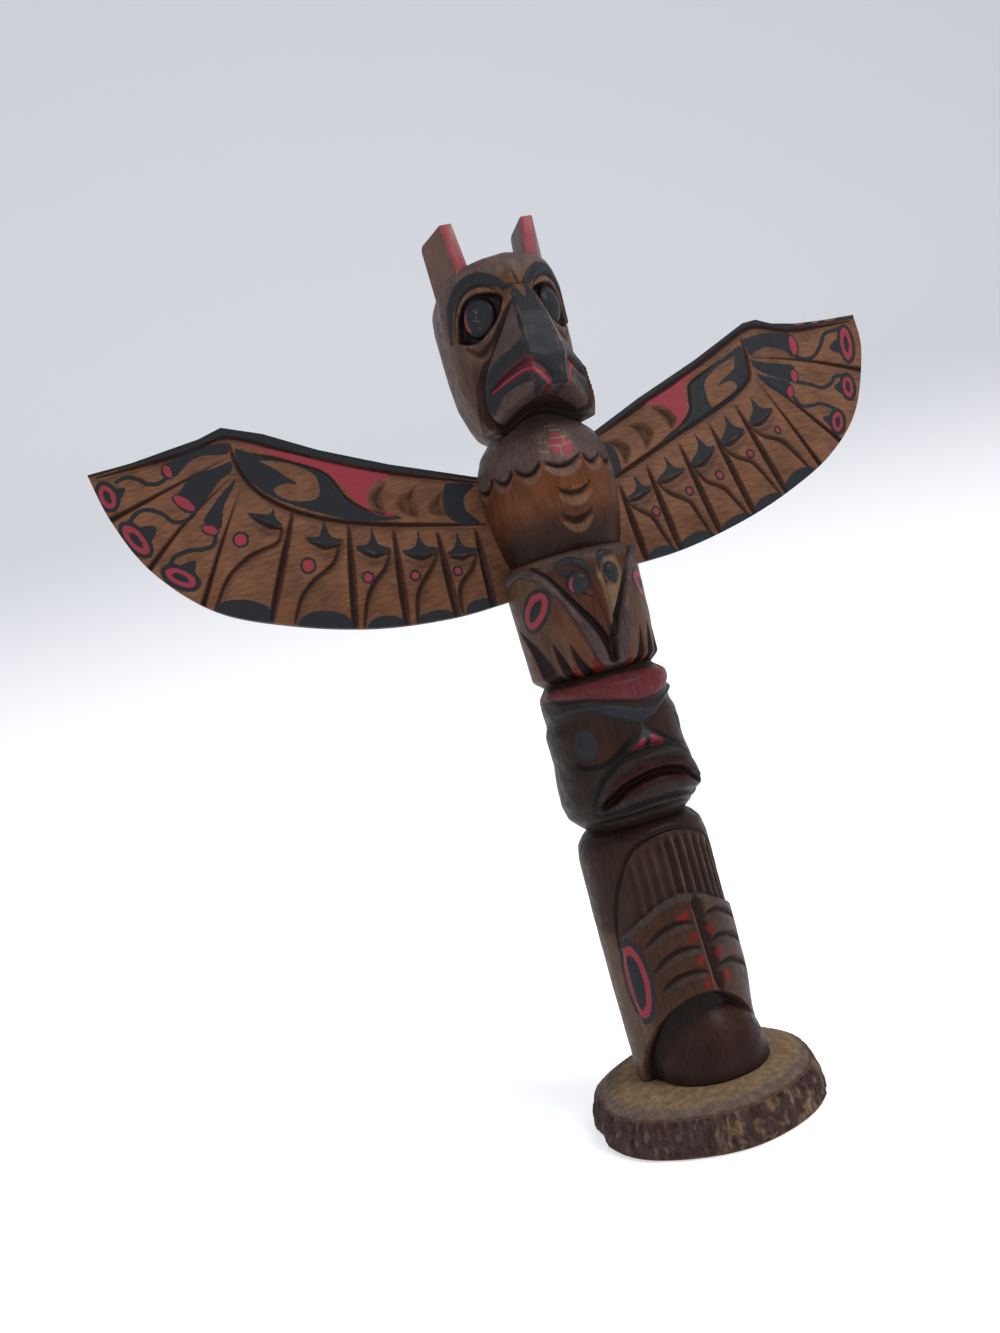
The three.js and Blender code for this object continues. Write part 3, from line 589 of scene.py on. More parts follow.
def head_mesh(settings):
    """The eagle's head: a drum that runs on below its rings as the neck, with the beak in front."""
    work = Figure("head", settings, GREY_BROWN, low=NECK["bottom"])
    turn, height = work.across / ARC, work.up
    work.radius = soft_max(work.radius, beak_reach(work.turn, work.height), 1.4)

    def glow(middle, wide, level, tall):
        return np.exp(-(((np.abs(turn) - middle) / wide) ** 2 + ((height - level) / tall) ** 2))

    work.tint(TAN, 0.9 * glow(30, 28, 389, 11))
    work.tint(ORANGE_BROWN, 0.8 * glow(6, 10, 394, 8))
    work.tint(ORANGE_BROWN, 0.5 * glow(36, 12, 368, 8))
    work.tint(srgb(120, 84, 60), 0.6 * smooth(np.abs(turn), 48, 70) * (1 - smooth(height, 392, 402)))
    # Lighter grey from the brows up over the top, a painted highlight on the forehead's edge.
    work.tint(srgb(128, 106, 98), 0.8 * smooth(height, 397, 405))

    almond = [(-67, 380.5), (-58, 390.5), (-43, 396), (-27, 395.5), (-12, 390.5), (-20, 381), (-38, 375.5),
              (-53, 376.5)]
    brow = [(-3, 390.5), (-14, 397.5), (-31, 402.8), (-52, 401), (-68, 394), (-78, 382)]
    lid = [(-11, 391), (-23, 398), (-39, 399.6), (-56, 395), (-69, 384)]
    crease = [(-7, 385), (-14, 380), (-22, 374.5), (-31, 369), (-41, 361), (-48, 351), (-50, 343),
              (-47, 336), (-42, 330)]
    bag = [(-58, 376), (-44, 369.5), (-28, 373)]
    black = [(3, 391), (-2.5, 377), (-5.3, 370.5), (-8, 366), (-13.4, 363.4), (-25, 362), (-36, 359),
             (-42, 354.5), (-44.5, 349), (-44, 343), (-41, 339), (-36, 341.5), (-25, 345.4), (-14.4, 345.6),
             (-9.3, 344), (-5, 340.8), (0, 337), (8, 337), (9.5, 352), (9, 364), (8.5, 376), (7, 388)]
    mouth = [(-38.5, 348.6), (-37, 350.6), (-30, 353.2), (-20.3, 355.4), (-11, 356), (-6.8, 354.5),
             (-3.2, 350), (-1, 345), (0.4, 339.6), (-1.4, 339.8), (-6, 345.9), (-9.5, 348), (-14, 349.2),
             (-25.5, 348.6), (-36, 347.8)]
    pink = [(-38, 348.9), (-25.5, 350.2), (-14, 350.8), (-9, 349.8), (-5.2, 347), (-1, 341)]
    recess = [(-39, 348.8), (-30, 351), (-20.3, 352.6), (-11, 353), (-6.8, 351.2), (-3, 347), (-0.2, 340)]
    flank = [(-9, 384), (-3, 384), (-4, 377), (-7, 370), (-14, 366), (-26, 364.5), (-36, 361.5), (-29, 368),
             (-18, 376)]
    nostril = [(-8, 382), (-3.5, 378), (-9, 371), (-14, 374)]
    for side in (-1, 1):
        work.dye(on_side(side, flank), GREY_BROWN, 0.85)
        work.dye(on_side(side, nostril), srgb(116, 92, 92), 0.8, 1.5)
        work.sunk(on_side(side, almond), 4, slope=1.4)
        near, depth = work.inside(on_side(side, almond))
        work.blend(near, srgb(30, 20, 22), smooth(depth, -0.5, 0.2))
        work.ball(side * EYE_TURN, EYE_HEIGHT, 10.2, 9.2, 5.4, rise=-4)
        work.ridge(on_side(side, brow), 3.6, settings.brow_rise / MM, crown=0.75)
        work.stroke("black", on_side(side, brow), 3.2)
        work.groove(on_side(side, lid), 0.9, 1.0, colour=RED_BROWN)
        work.groove(on_side(side, bag), 2.2, 1.0, colour=RED_BROWN)
        work.groove(on_side(side, crease), 3.4, 3.0, run=quill, deepest=-0.3 * side, colour=srgb(58, 30, 28))
        work.stain_and_light_line(on_side(side, [(-53, 366), (-56, 352), (-53, 338)]), 3.5, BROWN, 0.6, 3)
        work.stain_and_light_line(on_side(side, [(-58, 374.5), (-42, 366.5), (-27, 370.5)]), 1.0, TAN, 0.5, 1)
        work.oval("black", side * EYE_TURN, EYE_HEIGHT, 9.2, 8.6)
        work.oval("red", side * (EYE_TURN + 9), EYE_HEIGHT + 0.4, 3.6, 5.8)
        work.bare_oval("red", side * (EYE_TURN + 1), EYE_HEIGHT, 5.0, 9)
        work.fill("black", on_side(side, black), 80)
    # The beak's tip leans to its left side, so the mouth starts farther out there.
    for side, lean in ((-1, 0), (1, TIP_LEAN)):
        cheek, red_line, cut = (
            [(-side * turn + lean * max(0, 1 - abs(turn) / 40), height) for turn, height in path]
            for path in (mouth, pink, recess))
        work.bare("black", cheek, 80)
        work.dye(cheek, srgb(112, 42, 48), 1.0, 0.4)
        work.groove(cut, 3.2, 2.2, run=even, deepest=-0.4 * side)
        work.stroke("red", red_line, 0.7, run=even)
    # Worn wood along the right edge of the ridge, scratches in the eye and a nick between the brows.
    work.stain_and_light_line([(9, 386), (9.5, 372), (9.6, 358), (9.2, 345)], 0.4, CREAM, 0.9, 0.4)
    for worn in ([(7.6, 381), (8.4, 377)], [(8.6, 371), (9, 360)], [(9.2, 352), (9, 343)]):
        work.scratch("black", worn, 0.55)
    for mark in ([(-38, 390), (-34, 386.6)], [(-34, 389), (-37, 384)],
                 [(-40, 385), (-33, 383)], [(-37, 381), (-35, 380)]):
        work.scratch("black", mark, 0.16)
        work.stain_and_light_line(mark, 0.3, CREAM, 0.7, 0.3)
    work.groove([(-1, 401), (1.5, 393)], 0.6, 0.6, colour=RED_BROWN)

    # The hollow under the chin is cut back to a flat wall, and the skin below it to the neck.
    radius = work.worked()
    aside, ahead = np.sin(work.turn * DEGREE), np.cos(work.turn * DEGREE)
    x = np.abs(radius * aside) / CHIN_ARCH["half"]
    z = np.maximum(work.height - CHIN_ARCH["middle"], 0) / CHIN_ARCH["rise"]
    inside = 1 - (x**2.6 + z**2.6) ** (1 / 2.6)
    share = smooth(inside * CHIN_ARCH["rise"], -0.2, 1.0) * (ahead > 0)
    radius = radius + (np.minimum(radius, CHIN_ARCH["wall"] / np.maximum(ahead, 0.2)) - radius) * share
    neck = NECK["radius"] + NECK["flare"] * smooth(work.height, NECK["bottom"], NECK["top"])
    radius = neck + (radius - neck) * smooth(work.height, NECK["top"] - 2.5, NECK["top"])
    work.relief = (radius - work.radius).ravel()
    share = share.ravel()
    # The cut-back hollow under the chin is stained near black, a painted shadow.
    work.tint(srgb(24, 17, 17), share)
    work.unpaint(share > 0.5)
    # A grey band on the underside of the jaw, a painted highlight.
    lip = smooth(height, 330, 332) * (1 - smooth(height, 333.5, 335.5))
    work.tint(srgb(120, 112, 108), 0.6 * lip * (1 - share))
    return work.finished(seed=3, bare_top=True)


SHARP = 0.5  # radians between two faces whose edge is rounded off
# Ears are wedges, thin in front and broad behind. Foot and crown say how far out the inner and
# the outer side lie, in front and then behind.
EAR = {"front": -20, "back": 1, "bottom": 404, "foot": (13.2, 19.2, 13.5, 28.6),
       "crown": (16.5, 22.5, 15.8, 29.4)}
EARS = ({"side": -1, "shift": 1.2, "top": 434.3}, {"side": 1, "shift": -1.0, "top": 431.8})


def ear_mesh(side, shift, top):
    """One upright ear, whose front face takes the second material."""
    bm = bmesh.new()
    bmesh.ops.create_cube(bm, size=1)
    for v in bm.verts:
        low, front, outer = v.co.z < 0, v.co.y < 0, v.co.x > 0
        x = EAR["foot" if low else "crown"][(0 if front else 2) + outer]
        v.co = (x, EAR["front"] if front else EAR["back"], EAR["bottom"] if low else top)
    crest = [e for e in bm.edges if all(v.co.y > 0 and v.co.z > EAR["bottom"] + 1 for v in e.verts)]
    bmesh.ops.bevel(bm, geom=crest, offset=3, segments=4, profile=0.5, affect="EDGES")
    sharp = [e for e in bm.edges if len(e.link_faces) == 2 and e.calc_face_angle() > SHARP]
    bmesh.ops.bevel(bm, geom=sharp, offset=0.7, segments=3, profile=0.5, affect="EDGES")
    bmesh.ops.triangulate(bm, faces=bm.faces)
    bmesh.ops.subdivide_edges(bm, edges=bm.edges, cuts=2, use_grid_fill=True)
    for v in bm.verts:
        v.co = (side * (v.co.x + shift) * MM, v.co.y * MM, v.co.z * MM)
    bmesh.ops.recalc_face_normals(bm, faces=bm.faces)
    for face in bm.faces:
        face.smooth = True
        face.material_index = int(face.calc_center_median().y < (EAR["front"] + 0.5) * MM)
    mesh = bpy.data.meshes.new("ear")
    bm.to_mesh(mesh)
    bm.free()
    return mesh


# ---- breast: a row of scalloped feathers and two smile cuts ----------------------------------
FEATHER_TURNS = (-95, -62, -40, -15, 20, 43, 68, 100)
BIB = {"edge": 309.5, "dip": 2.4}  # height of the scallops' middles, and how far up their ends run


def breast_mesh(settings):
    """The breast, with its scalloped bib above and two smile cuts below."""
    work = Figure("breast", settings, srgb(108, 64, 40))
    turn, height = work.across / ARC, work.up
    work.tint(srgb(140, 82, 46), 0.6 * smooth(height, 284, 298) * (1 - smooth(np.abs(turn + 12), 40, 70)))
    work.tint(RED_BROWN, 0.85 * (1 - smooth(height, 280, 294)))
    work.tint(DARK, 0.6 * (1 - smooth(height, 274, 287)))
    # The right flank is lighter grey-brown, a painted highlight on the side the light falls on.
    flank = smooth(turn, 34, 60) * (1 - smooth(turn, 90, 150))
    work.tint(srgb(120, 96, 82), 0.75 * flank * smooth(height, 280, 300))
    scallop = np.zeros_like(turn)
    for left, right in zip(FEATHER_TURNS, FEATHER_TURNS[1:]):
        middle, half = (left + right) / 2, (right - left) / 2
        bow = BIB["edge"] + BIB["dip"] * ((turn - middle) / half) ** 2
        scallop = np.where(np.abs(turn - middle) <= half, bow, scallop)
    feathered = np.abs(turn) < FEATHER_TURNS[-1]
    work.tint(GREYED, 0.9 * smooth(height - scallop, -0.6, 1.0) * feathered)
    work.tint(GREYED, 0.9 * smooth(height, 309, 312) * ~feathered)
    for left, right in zip(FEATHER_TURNS, FEATHER_TURNS[1:]):
        middle = (left + right) / 2
        path = [(left + 1.5, 311.5), ((left + middle) / 2, 308.4), (middle, 307.2),
                ((right + middle) / 2, 308.6), (right - 1, 312)]
        work.groove(path, 3.5, 2.8, deepest=0.8, run=rounded)
        # A painted highlight along the lower edge of each scallop cut and a painted shade line along its
        # upper wall.
        work.stain_and_light_line(shifted(path, -1.6), 1.5, srgb(150, 122, 104), 0.45, 0.6, swell)
        work.stain_and_light_line(shifted(path, 1.6), 0.9, srgb(44, 26, 22), 0.95, 0.6)
    for middle, level, reach in ((7, 295.5, 15.5), (5, 283.6, 15)):
        path = [(middle - reach, level + 2.4), (middle - reach * 0.5, level - 0.8), (middle, level - 1.8),
                (middle + reach * 0.5, level - 0.6), (middle + reach, level + 2.8)]
        work.groove(path, 4.0, 3.0, deepest=0.8, run=arched(0.15, 0.6))
        # A line of painted shade above each smile cut and a line of painted highlight below it.
        work.stain_and_light_line(shifted(path, 2.0), 1.0, srgb(34, 22, 20), 0.95, 0.6, swell)
        work.stain_and_light_line(shifted(path, -1.9), 2.0, srgb(156, 112, 82), 0.6, 0.6, swell)
    # A rubbed red patch, crazed like small bricks.
    work.dye([(-16, 314), (-14, 329), (12, 331), (17, 321), (14, 313), (0, 311.5)],
             srgb(140, 116, 106), 0.5, 3)
    work.fill("red", [(-4, 316), (-5, 321), (-1, 322), (0, 325), (7, 325), (8, 322.4), (13, 322), (14.5, 318),
                      (12, 314), (6, 313.4), (3, 315), (-1, 314.6)])
    for crack in ([(-7, 319.6), (4, 318.4), (15, 319.4)], [(3, 312.8), (3.6, 318.4)],
                  [(8.4, 318.6), (8.8, 323.4)], [(-3, 323), (6, 322.4), (13, 322.4)],
                  [(-14, 317.6), (-7, 316.4)], [(-15, 322.2), (-6, 321.2)], [(0, 327.2), (11, 326.2)],
                  [(-3, 330), (9, 329.4)]):
        work.scratch("red", crack, 0.35)
        work.stain_and_light_line(crack, 0.35, CREAM, 0.55, 0.4)
    return work.finished(seed=5)


# ---- hawk: a face framed by two raised bands that meet in a V ---------------------------------
HAWK_TURN = 2


def hawk_mesh(settings):
    """The hawk: its beak and eyes between two bands, and the feathers and an oval at each side."""
    work = Figure("hawk", settings, srgb(112, 82, 64))
    turn, height = work.across / ARC, work.up
    outer = [(-84, 262), (-63, 265.4), (-52, 262.8), (-44, 260.8), (-37, 255), (-30, 249), (-24, 241.7),
             (-19, 233), (-14, 223), (-9, 214.6)]
    inner = [(1, 214.6), (-0.6, 219), (-4, 226), (-8, 233), (-13, 239.5), (-21, 248.5), (-30, 256.6),
             (-38, 262.8), (-47, 267.6), (-66, 269), (-84, 268)]
    deep, dab_red = srgb(50, 32, 29), srgb(128, 36, 34)
    face = [(-46, 267), (-30, 258), (-15, 243), (-3, 230), (3, 219), (8, 228), (20, 244), (30, 257),
            (46, 267)]
    work.dye(face, srgb(96, 56, 38), 1.0, 0.5)
    work.dye([(-44, 258), (-30, 247), (-22, 236), (-16, 222), (-10, 214), (-26, 214), (-30, 232), (-42, 246)],
             srgb(120, 68, 40), 0.7, 4)
    work.dye([(7, 250), (4, 257), (11, 264), (25, 264), (27, 250), (15, 236), (7, 226)],
             srgb(150, 120, 94), 0.95, 1.5)
    work.tint(srgb(104, 84, 78), 0.9 * smooth(height, 262.5, 265.5) * (np.abs(turn - HAWK_TURN) < 40))
    split = [(-48, 267.5), (-37, 262.6), (-29, 256.2), (-20, 247.6), (-14, 241.8), (-6, 234), (-1, 227),
             (2.4, 218)]
    feathers = (([(-31, 229), (-28, 221), (-21, 212)], 3.4, 0),
                ([(-46, 231), (-43, 224), (-37, 212)], 3.4, 0),
                ([(-87, 242), (-69, 231), (-55, 212)], 6.6, 0.2))
    for way in (lambda path: path, lambda path: mirrored(path, HAWK_TURN)):
        band = way([*outer, *inner])
        work.raised(band, 1.5, shoulder=1.0)
        work.dye(band, srgb(92, 76, 74), 0.95, 0.5)
        work.groove(way(split), 2.4, 2.8, run=widening(0.3), colour=srgb(40, 26, 26))
        for path, half, deepest in feathers:
            work.groove(way(path), half, 2.8, run=widen, deepest=deepest, colour=deep)
        work.dye(way([(-35, 212), (-34, 218), (-31, 219), (-29, 212)]), dab_red, 0.9, 0.8)
    work.dye([(-19, 212), (-17, 219), (-13, 220), (-9.5, 217), (-9, 212)], dab_red, 0.9, 0.8)
    work.dye([(13, 212), (13.5, 219), (16, 219.5), (18, 212)], dab_red, 0.9, 0.8)
    # The beak is a prow with a tan right facet and a brown left one.
    near, along, left = work.follow(work.line([(3, 266), (5, 248), (7, 229)]), 12)
    wide, rise = 9 - 6.5 * along, 3.6 - 1.8 * along
    work.relief[near] = soft_max(work.relief[near], rise - (rise + 3) * np.abs(left) / wide, 0.3)
    work.groove([(-25, 262), (-15, 257), (-9, 249.5), (-2, 247)], 1.2, 1.0, colour=RED_BROWN)
    for eye, level, socket, wide, tilt in ((-12, 255, 5.6, 5.3, 0), (17, 256.4, 4.2, 3.6, -12)):
        work.ball(eye, level, socket, 5.6, 2.8, rise=-0.6)
        work.oval("black", eye, level, wide, 5.2, tilt)
    work.oval("red", -15, 254.8, 2.3, 3.4, 20)
    work.bare_oval("red", -12, 255.4, 2.4, 4.6, 20)
    work.fill("black", [(-27, 263), (-19, 259.5), (-15.5, 257.5), (-12, 261), (-18, 262.4)])
    for brow in ([(-27, 264.6), (-20, 266), (-12, 265.6), (-4, 262.2), (1.5, 256)],
                 [(6.5, 257), (7.5, 262.6), (13, 266), (25, 265.4)]):
        work.ridge(brow, 2.0, 1.4)
        work.stroke("black", brow, 1.7)
    for middle, side in ((-54.5, 1), (2 * HAWK_TURN + 54.5, -1)):
        work.oval("black", middle, 248, 7.7, 12.0, 50 * side)
        work.oval("red", middle, 248, 5.7, 9.9, 50 * side)
        work.bare_oval("red", middle, 248, 2.5, 6.6, 50 * side)
    work.tint(srgb(44, 32, 30), 0.85 * (1 - smooth(height, 212.5, 215)))
    work.unpaint(height < 213)
    return work.finished(seed=7)


# ---- mask: a wide-mouthed face under a rolled red brim ------------------------------------------
MASK_TURN = 8
# The mask is made darker as a whole: partly darker stain and partly painted shade.
MASK_SHADE = 0.44  # how much darker the whole mask is stained


def mask_mesh(settings):
    """The mask: brim and brow band over sunk eyes, a wedge of a nose and a wide, turned-down mouth."""
    work = Figure("mask", settings, srgb(86, 66, 56))
    turn, height = work.across / ARC, work.up
    away = turn - MASK_TURN
    near_front = 1 - smooth(np.abs(away), 70, 100)
    brow_low = np.interp(away, (-90, -60, -46, -36, -25, -9, 0, 9, 25, 36, 60, 90),
                         (196, 197.5, 198.4, 197.4, 193.7, 188.2, 186.4, 188.2, 192.5, 195.4, 197.5, 196))
    brow_high = np.interp(away, (-90, -60, -46, -31, -17, -2, 9, 37, 60, 90),
                          (200, 201, 200.6, 200, 196.6, 193.2, 192.6, 196.6, 200, 199))
    brim_low = np.interp(away, (-90, -70, -34, -22, -10, 4, 20, 36, 60, 90),
                         (206, 206, 203, 200.6, 197.8, 196.4, 196.8, 199.4, 203, 205))
    smear = 0.9 * ripple(work.across, height, 14, 21)
    # Sockets, then the brow band and the rolled brim above them.
    socket = [(-68, 186), (-56, 193), (-36, 193), (-18, 188), (-6, 181), (-22, 173), (-44, 171.5), (-62, 176)]
    glow = [(-66, 186), (-52, 192), (-34, 192), (-18, 187), (-12, 181), (-24, 174.5), (-44, 174), (-58, 178)]
    cheek = [(-62, 175), (-50, 172), (-33, 172.6), (-20, 177), (-8, 182)]
    fold = [(-12, 176.5), (-26, 171), (-42, 161), (-53, 149)]
    for side in (-1, 1):
        work.sunk(on_side(side, socket, MASK_TURN), 2.0, slope=7)
        work.dye(on_side(side, glow, MASK_TURN), srgb(104, 62, 42), 0.75, 3)
        work.groove(on_side(side, cheek, MASK_TURN), 1.3, 1.2, run=even, colour=DARK)
        work.ball(MASK_TURN + side * 48, 182.5, 6.2, 8.0, 2.8, rise=-2.2)
        work.oval("black", MASK_TURN + side * 48, 182.5, 5.8, 7.4)
        work.groove(on_side(side, fold, MASK_TURN), 1.5, 1.8, run=even, colour=srgb(34, 24, 22))
    band = np.minimum(height - brow_low, brow_high - height)
    brow = (1.6 * smooth(band, -1.0, 1.4) - 0.2) * near_front * (band > -1.2)
    work.relief = np.maximum(work.relief, brow)
    work.paint("black", np.where(near_front > 0.1, band, UNPAINTED))
    over = height - brim_low
    work.relief += 1.3 * smooth(over, -0.6, 2.2) * near_front * (1 - smooth(height, 208, 212))
    brim = np.where(near_front > 0.02, np.minimum(over, 210 - height + smear), UNPAINTED)
    work.tint(srgb(176, 84, 90), smooth(brim, -0.3, 0.3))
    # The brim's right part is painted a brighter red, a painted highlight.
    bright = smooth(turn, 10, 30) * (1 - smooth(turn, 40, 60))
    work.tint(srgb(196, 66, 70), 0.7 * smooth(brim, 0, 1) * bright)
    seam = np.linspace(-80, 80, 12)
    seam_height = np.interp(seam, (-80, -34, 4, 36, 80), (205, 202, 195.6, 198.6, 204))
    work.stain_and_light_line(list(zip(MASK_TURN + seam, seam_height)), 0.7, srgb(70, 24, 26), 0.9, 0.5)
    # A grey line along the top of the brow band, a painted highlight.
    edge = smooth(height - brow_high, -0.2, 0.2) * (1 - smooth(height - brow_high, 0.6, 1.2))
    work.tint(srgb(112, 112, 112), 0.6 * edge * near_front)
    # The nose: a raised grey-brown rim round a black wedge with two red nostrils.
    nose = [(8, 187.5), (-1, 182), (-9, 176), (-18, 170), (8, 169.5), (34, 170), (26, 175), (17, 181)]
    near, depth = work.inside(nose)
    slope = 1 + 3.6 * smooth(188 - work.up[near], 0, 16)
    work.relief[near] = np.maximum(work.relief[near], slope * smooth(depth, -0.6, 2.4))
    work.dye(nose, srgb(92, 76, 70), 0.9, 0.5)
    work.fill("black", [(8, 184.4), (1, 180.4), (-9, 174.4), (8, 174.2), (27, 173.2), (17, 180)])
    work.fill("red", [(-7.6, 175), (-1, 177.8), (5, 180), (5.6, 177), (4.6, 175)])
    work.fill("red", [(10.6, 175), (10.6, 180.6), (16, 178.6), (24, 174.8), (17, 174.8)])
    # The mouth: a black line round grey-brown lips with dark red inner edges and a slit.
    whole = [(8, 175.4), (-10, 174.4), (-24, 170), (-36, 163), (-44, 154.5), (-45, 149.6), (-30, 148.6),
             (-12, 150.4), (8, 151), (28, 150.4), (46, 148.6), (61, 149.6), (60, 154.5), (52, 163),
             (40, 170), (26, 174.4)]
    work.raised(whole, 2.2, shoulder=1.4)
    work.dye(whole, srgb(88, 74, 70), 0.9, 0.5)
    rim = [*whole, whole[0]]
    work.groove(rim, 1.0, 1.4, run=steady, colour=srgb(22, 20, 21))
    work.stroke("black", rim, 0.9, run=steady)
    upper = [(-37, 153.6), (-28, 160.8), (-17, 166.4), (8, 170), (33, 166.4), (44, 160.8), (53, 153.6),
             (44, 156.2), (30, 161.2), (8, 164), (-14, 161.2), (-28, 156.2)]
    lower = [(-36, 152.8), (-28, 154.8), (-14, 159.6), (8, 162.2), (30, 159.6), (44, 154.8), (52, 152.8),
             (33, 155), (8, 158.2), (-17, 155)]
    for lip in (upper, lower):
        work.dye(lip, srgb(84, 34, 38), 0.95, 0.3)
    slit = [(-37, 153.2), (-28, 155.8), (-14, 160.6), (8, 163.2), (30, 160.6), (44, 155.8), (53, 153.2)]
    work.groove(slit, 1.5, 2.6, run=even, colour=srgb(20, 12, 13))
    under = [(-50, 145.4), (-22, 146.4), (8, 147.2), (38, 146.4), (66, 145.4)]
    work.groove(under, 1.2, 1.4, run=even, colour=DARK)
    # Grey on the right of the chin, a painted highlight.
    chin = smooth(turn, 20, 45) * (1 - smooth(height, 149, 151))
    work.tint(srgb(112, 106, 104), 0.5 * chin * near_front)
    # The whole mask darkened, as darker stain and as painted shade.
    work.stain *= MASK_SHADE
    return work.finished(seed=11)


# ---- lower figure: fluted apron, ribbed panel and a domed knee -----------------------------------
LOWER_TURN = 12
# The lower figure is made darker as a whole: partly darker stain and partly painted shade.
LOWER_SHADE = 0.72  # how much darker the whole figure is stained
FLUTE_STEP = 9.5
PANEL_RISE = 1.6
KNEE = {"x": 4, "y": -8, "wide": 26.8, "tall": 38}
ARCH = {"turn": -2, "half": 30, "rise": 40, "core": 25.5}


def lower_mesh(settings):
    """The lower figure: flutes over a raised, ribbed panel, and a knee in the arch at its foot."""
    work = Figure("lower", settings, srgb(108, 78, 62))
    turn, height = work.across / ARC, work.up
    apron_edge = np.interp(turn, (-66, -60, -52, -43, -29, -10, 12, 38, 55, 70, 84, 90),
                           (60, 95, 109, 119, 130, 135, 136, 132.4, 126, 115, 95, 60))
    panel_top = np.interp(turn, (-57, -53, -34, -16, 1, 20, 45, 66, 82, 86),
                          (88, 93.6, 100, 105.4, 107.7, 105, 97.5, 92.5, 88, 84))
    work.tint(srgb(84, 52, 40), smooth(height, 92, 96))
    left_side = smooth(turn, -100, -84) * (1 - smooth(turn, -50, -40))
    work.tint(srgb(142, 108, 86), 0.9 * (1 - smooth(height, 84, 98)) * left_side)
    work.tint(srgb(60, 44, 38), 0.6 * smooth(height, 128, 138))
    apron = smooth(apron_edge - height, -0.6, 0.6) * smooth(height - panel_top, -1, 0.5)
    apron = apron * (turn > -64) * (turn < 88)
    work.tint(srgb(88, 60, 44), 0.9 * apron)
    for k in range(-5, 7):
        middle = LOWER_TURN + (k + 0.3) * FLUTE_STEP
        strength = 0.55 if middle < 0 else 1.0
        high = np.interp(middle, (-43, -29, -10, 12, 38, 55, 70, 84),
                         (117, 128, 132.6, 133.6, 130, 124, 113, 100))
        low = np.interp(middle, (-53, -16, 1, 20, 66), (93, 104, 106, 104, 91)) - 1
        work.groove([(middle, low), (middle, (low + high) / 2), (middle, high)], 2.5, 1.7 * strength,
                    run=even, soft=0.5)
        # Each flute gets a dark line of painted shade down its middle and a light line of painted highlight
        # along the crest to its right.
        work.stain_and_light_line([(middle, low), (middle, high)], 1.5, srgb(46, 26, 20), 0.8 * strength, 1.0)
        crest = middle + 4.7
        work.stain_and_light_line([(crest, low), (crest, high)], 0.5, srgb(136, 104, 82), 0.6 * strength, 0.6)
    edge = [(-62, 86), (-60, 94.6), (-52, 109), (-43, 119), (-29, 130), (-10, 135), (15, 136), (38, 132.4),
            (55, 126), (70, 115), (84, 94)]
    work.groove(edge, 1.2, 1.2, run=even, colour=srgb(40, 30, 30))
    # The panel stands out below the flutes, with a grey edge along its top.
    around = smooth(turn, -60, -54) * (1 - smooth(turn, 84, 90)) * smooth(height, 40, 60)
    panel = around * (1 - smooth(height - panel_top, -0.7, 0.5))
    plain = work.relief * (1 - panel)
    work.relief = np.zeros_like(work.relief)
    work.tint(srgb(98, 62, 44), 0.9 * panel * (turn > -44))
    work.tint(srgb(112, 86, 70), 0.8 * panel * smooth(turn, 18, 24))
    rim = smooth(height - panel_top, -4.6, -2.6) * panel
    work.tint(srgb(96, 90, 84), 0.75 * rim)
    work.groove([(14, 104), (14.5, 96), (15.5, 85), (16.5, 74), (17.5, 60)], 3.4, 2.4, run=even,
                colour=srgb(70, 42, 30))
    # A light line along the left lip of the cut, a painted highlight.
    work.stain_and_light_line([(9.6, 101), (10.4, 87), (10.8, 75), (12, 62)], 0.5, srgb(160, 124, 96), 0.7, 0.5)
    ribs = ([(-35, 86.4), (-19, 91), (-6, 93), (8, 92.4)], [(-33, 74.6), (-19, 79), (-6, 81.2), (9, 80.6)],
            [(-30, 65.6), (-18, 68.8), (-4, 70.2), (10, 69)], [(18, 93.6), (37, 92.4), (64, 85)],
            [(18, 81.6), (36, 81), (63, 74)], [(19, 69.8), (36, 68.8), (60, 62.4)])
    for rib in ribs:
        work.groove(rib, 3.4, 2.3, deepest=0.7, run=arched(0.1, 0.6))
        # A line of painted shade along the upper wall of each rib cut and a line of painted highlight along
        # its lower edge.
        work.stain_and_light_line(shifted(rib, 1.2), 1.1, srgb(46, 32, 28), 0.95, 0.6, swell)
        work.stain_and_light_line(shifted(rib, -1.0), 1.4, srgb(104, 88, 78), 0.7, 0.8, swell)
    for x, z, wide in ((1, 97.4, 4.2), (4, 87.4, 3.4), (5.4, 76.4, 3.2), (7, 65.6, 3.2),
                       (22, 87.4, 3.0), (24, 76, 2.8), (26, 65, 3.4)):
        lean = 1.0 if x < LOWER_TURN else -0.6
        dab = [(-wide, -1.6 - lean), (wide, -1.8 + lean * 0.2), (wide, 1.9), (-wide, 1.2 - lean)]
        work.dye(shifted(dab, z, x), srgb(176, 44, 40), 0.85, 0.9)
    work.relief = plain + (PANEL_RISE + work.relief) * panel
    for middle, turned in ((-51, 1), (75, -1)):
        work.oval("black", middle, 72, 8.8, 20.4, 1.5 * turned)
        work.oval("red", middle, 72, 6.7, 17.2, 1.5 * turned)
        work.bare_oval("red", middle, 72, 4.1, 12.6, 1.5 * turned)
    # The arch below is cut back to a round core, and the knee stands in it.
    radius = work.worked()
    away = (work.turn - ARCH["turn"]) * DEGREE
    rise = (work.height - FOOT) / ARCH["rise"]
    inside = 1 - np.sqrt((radius * np.sin(away) / ARCH["half"]) ** 2 + rise**2)
    share = smooth(inside * 34, 0.0, 0.9) * (np.cos(away) > 0)
    radius = radius + (np.minimum(radius, ARCH["core"]) - radius) * share
    share = share.ravel()
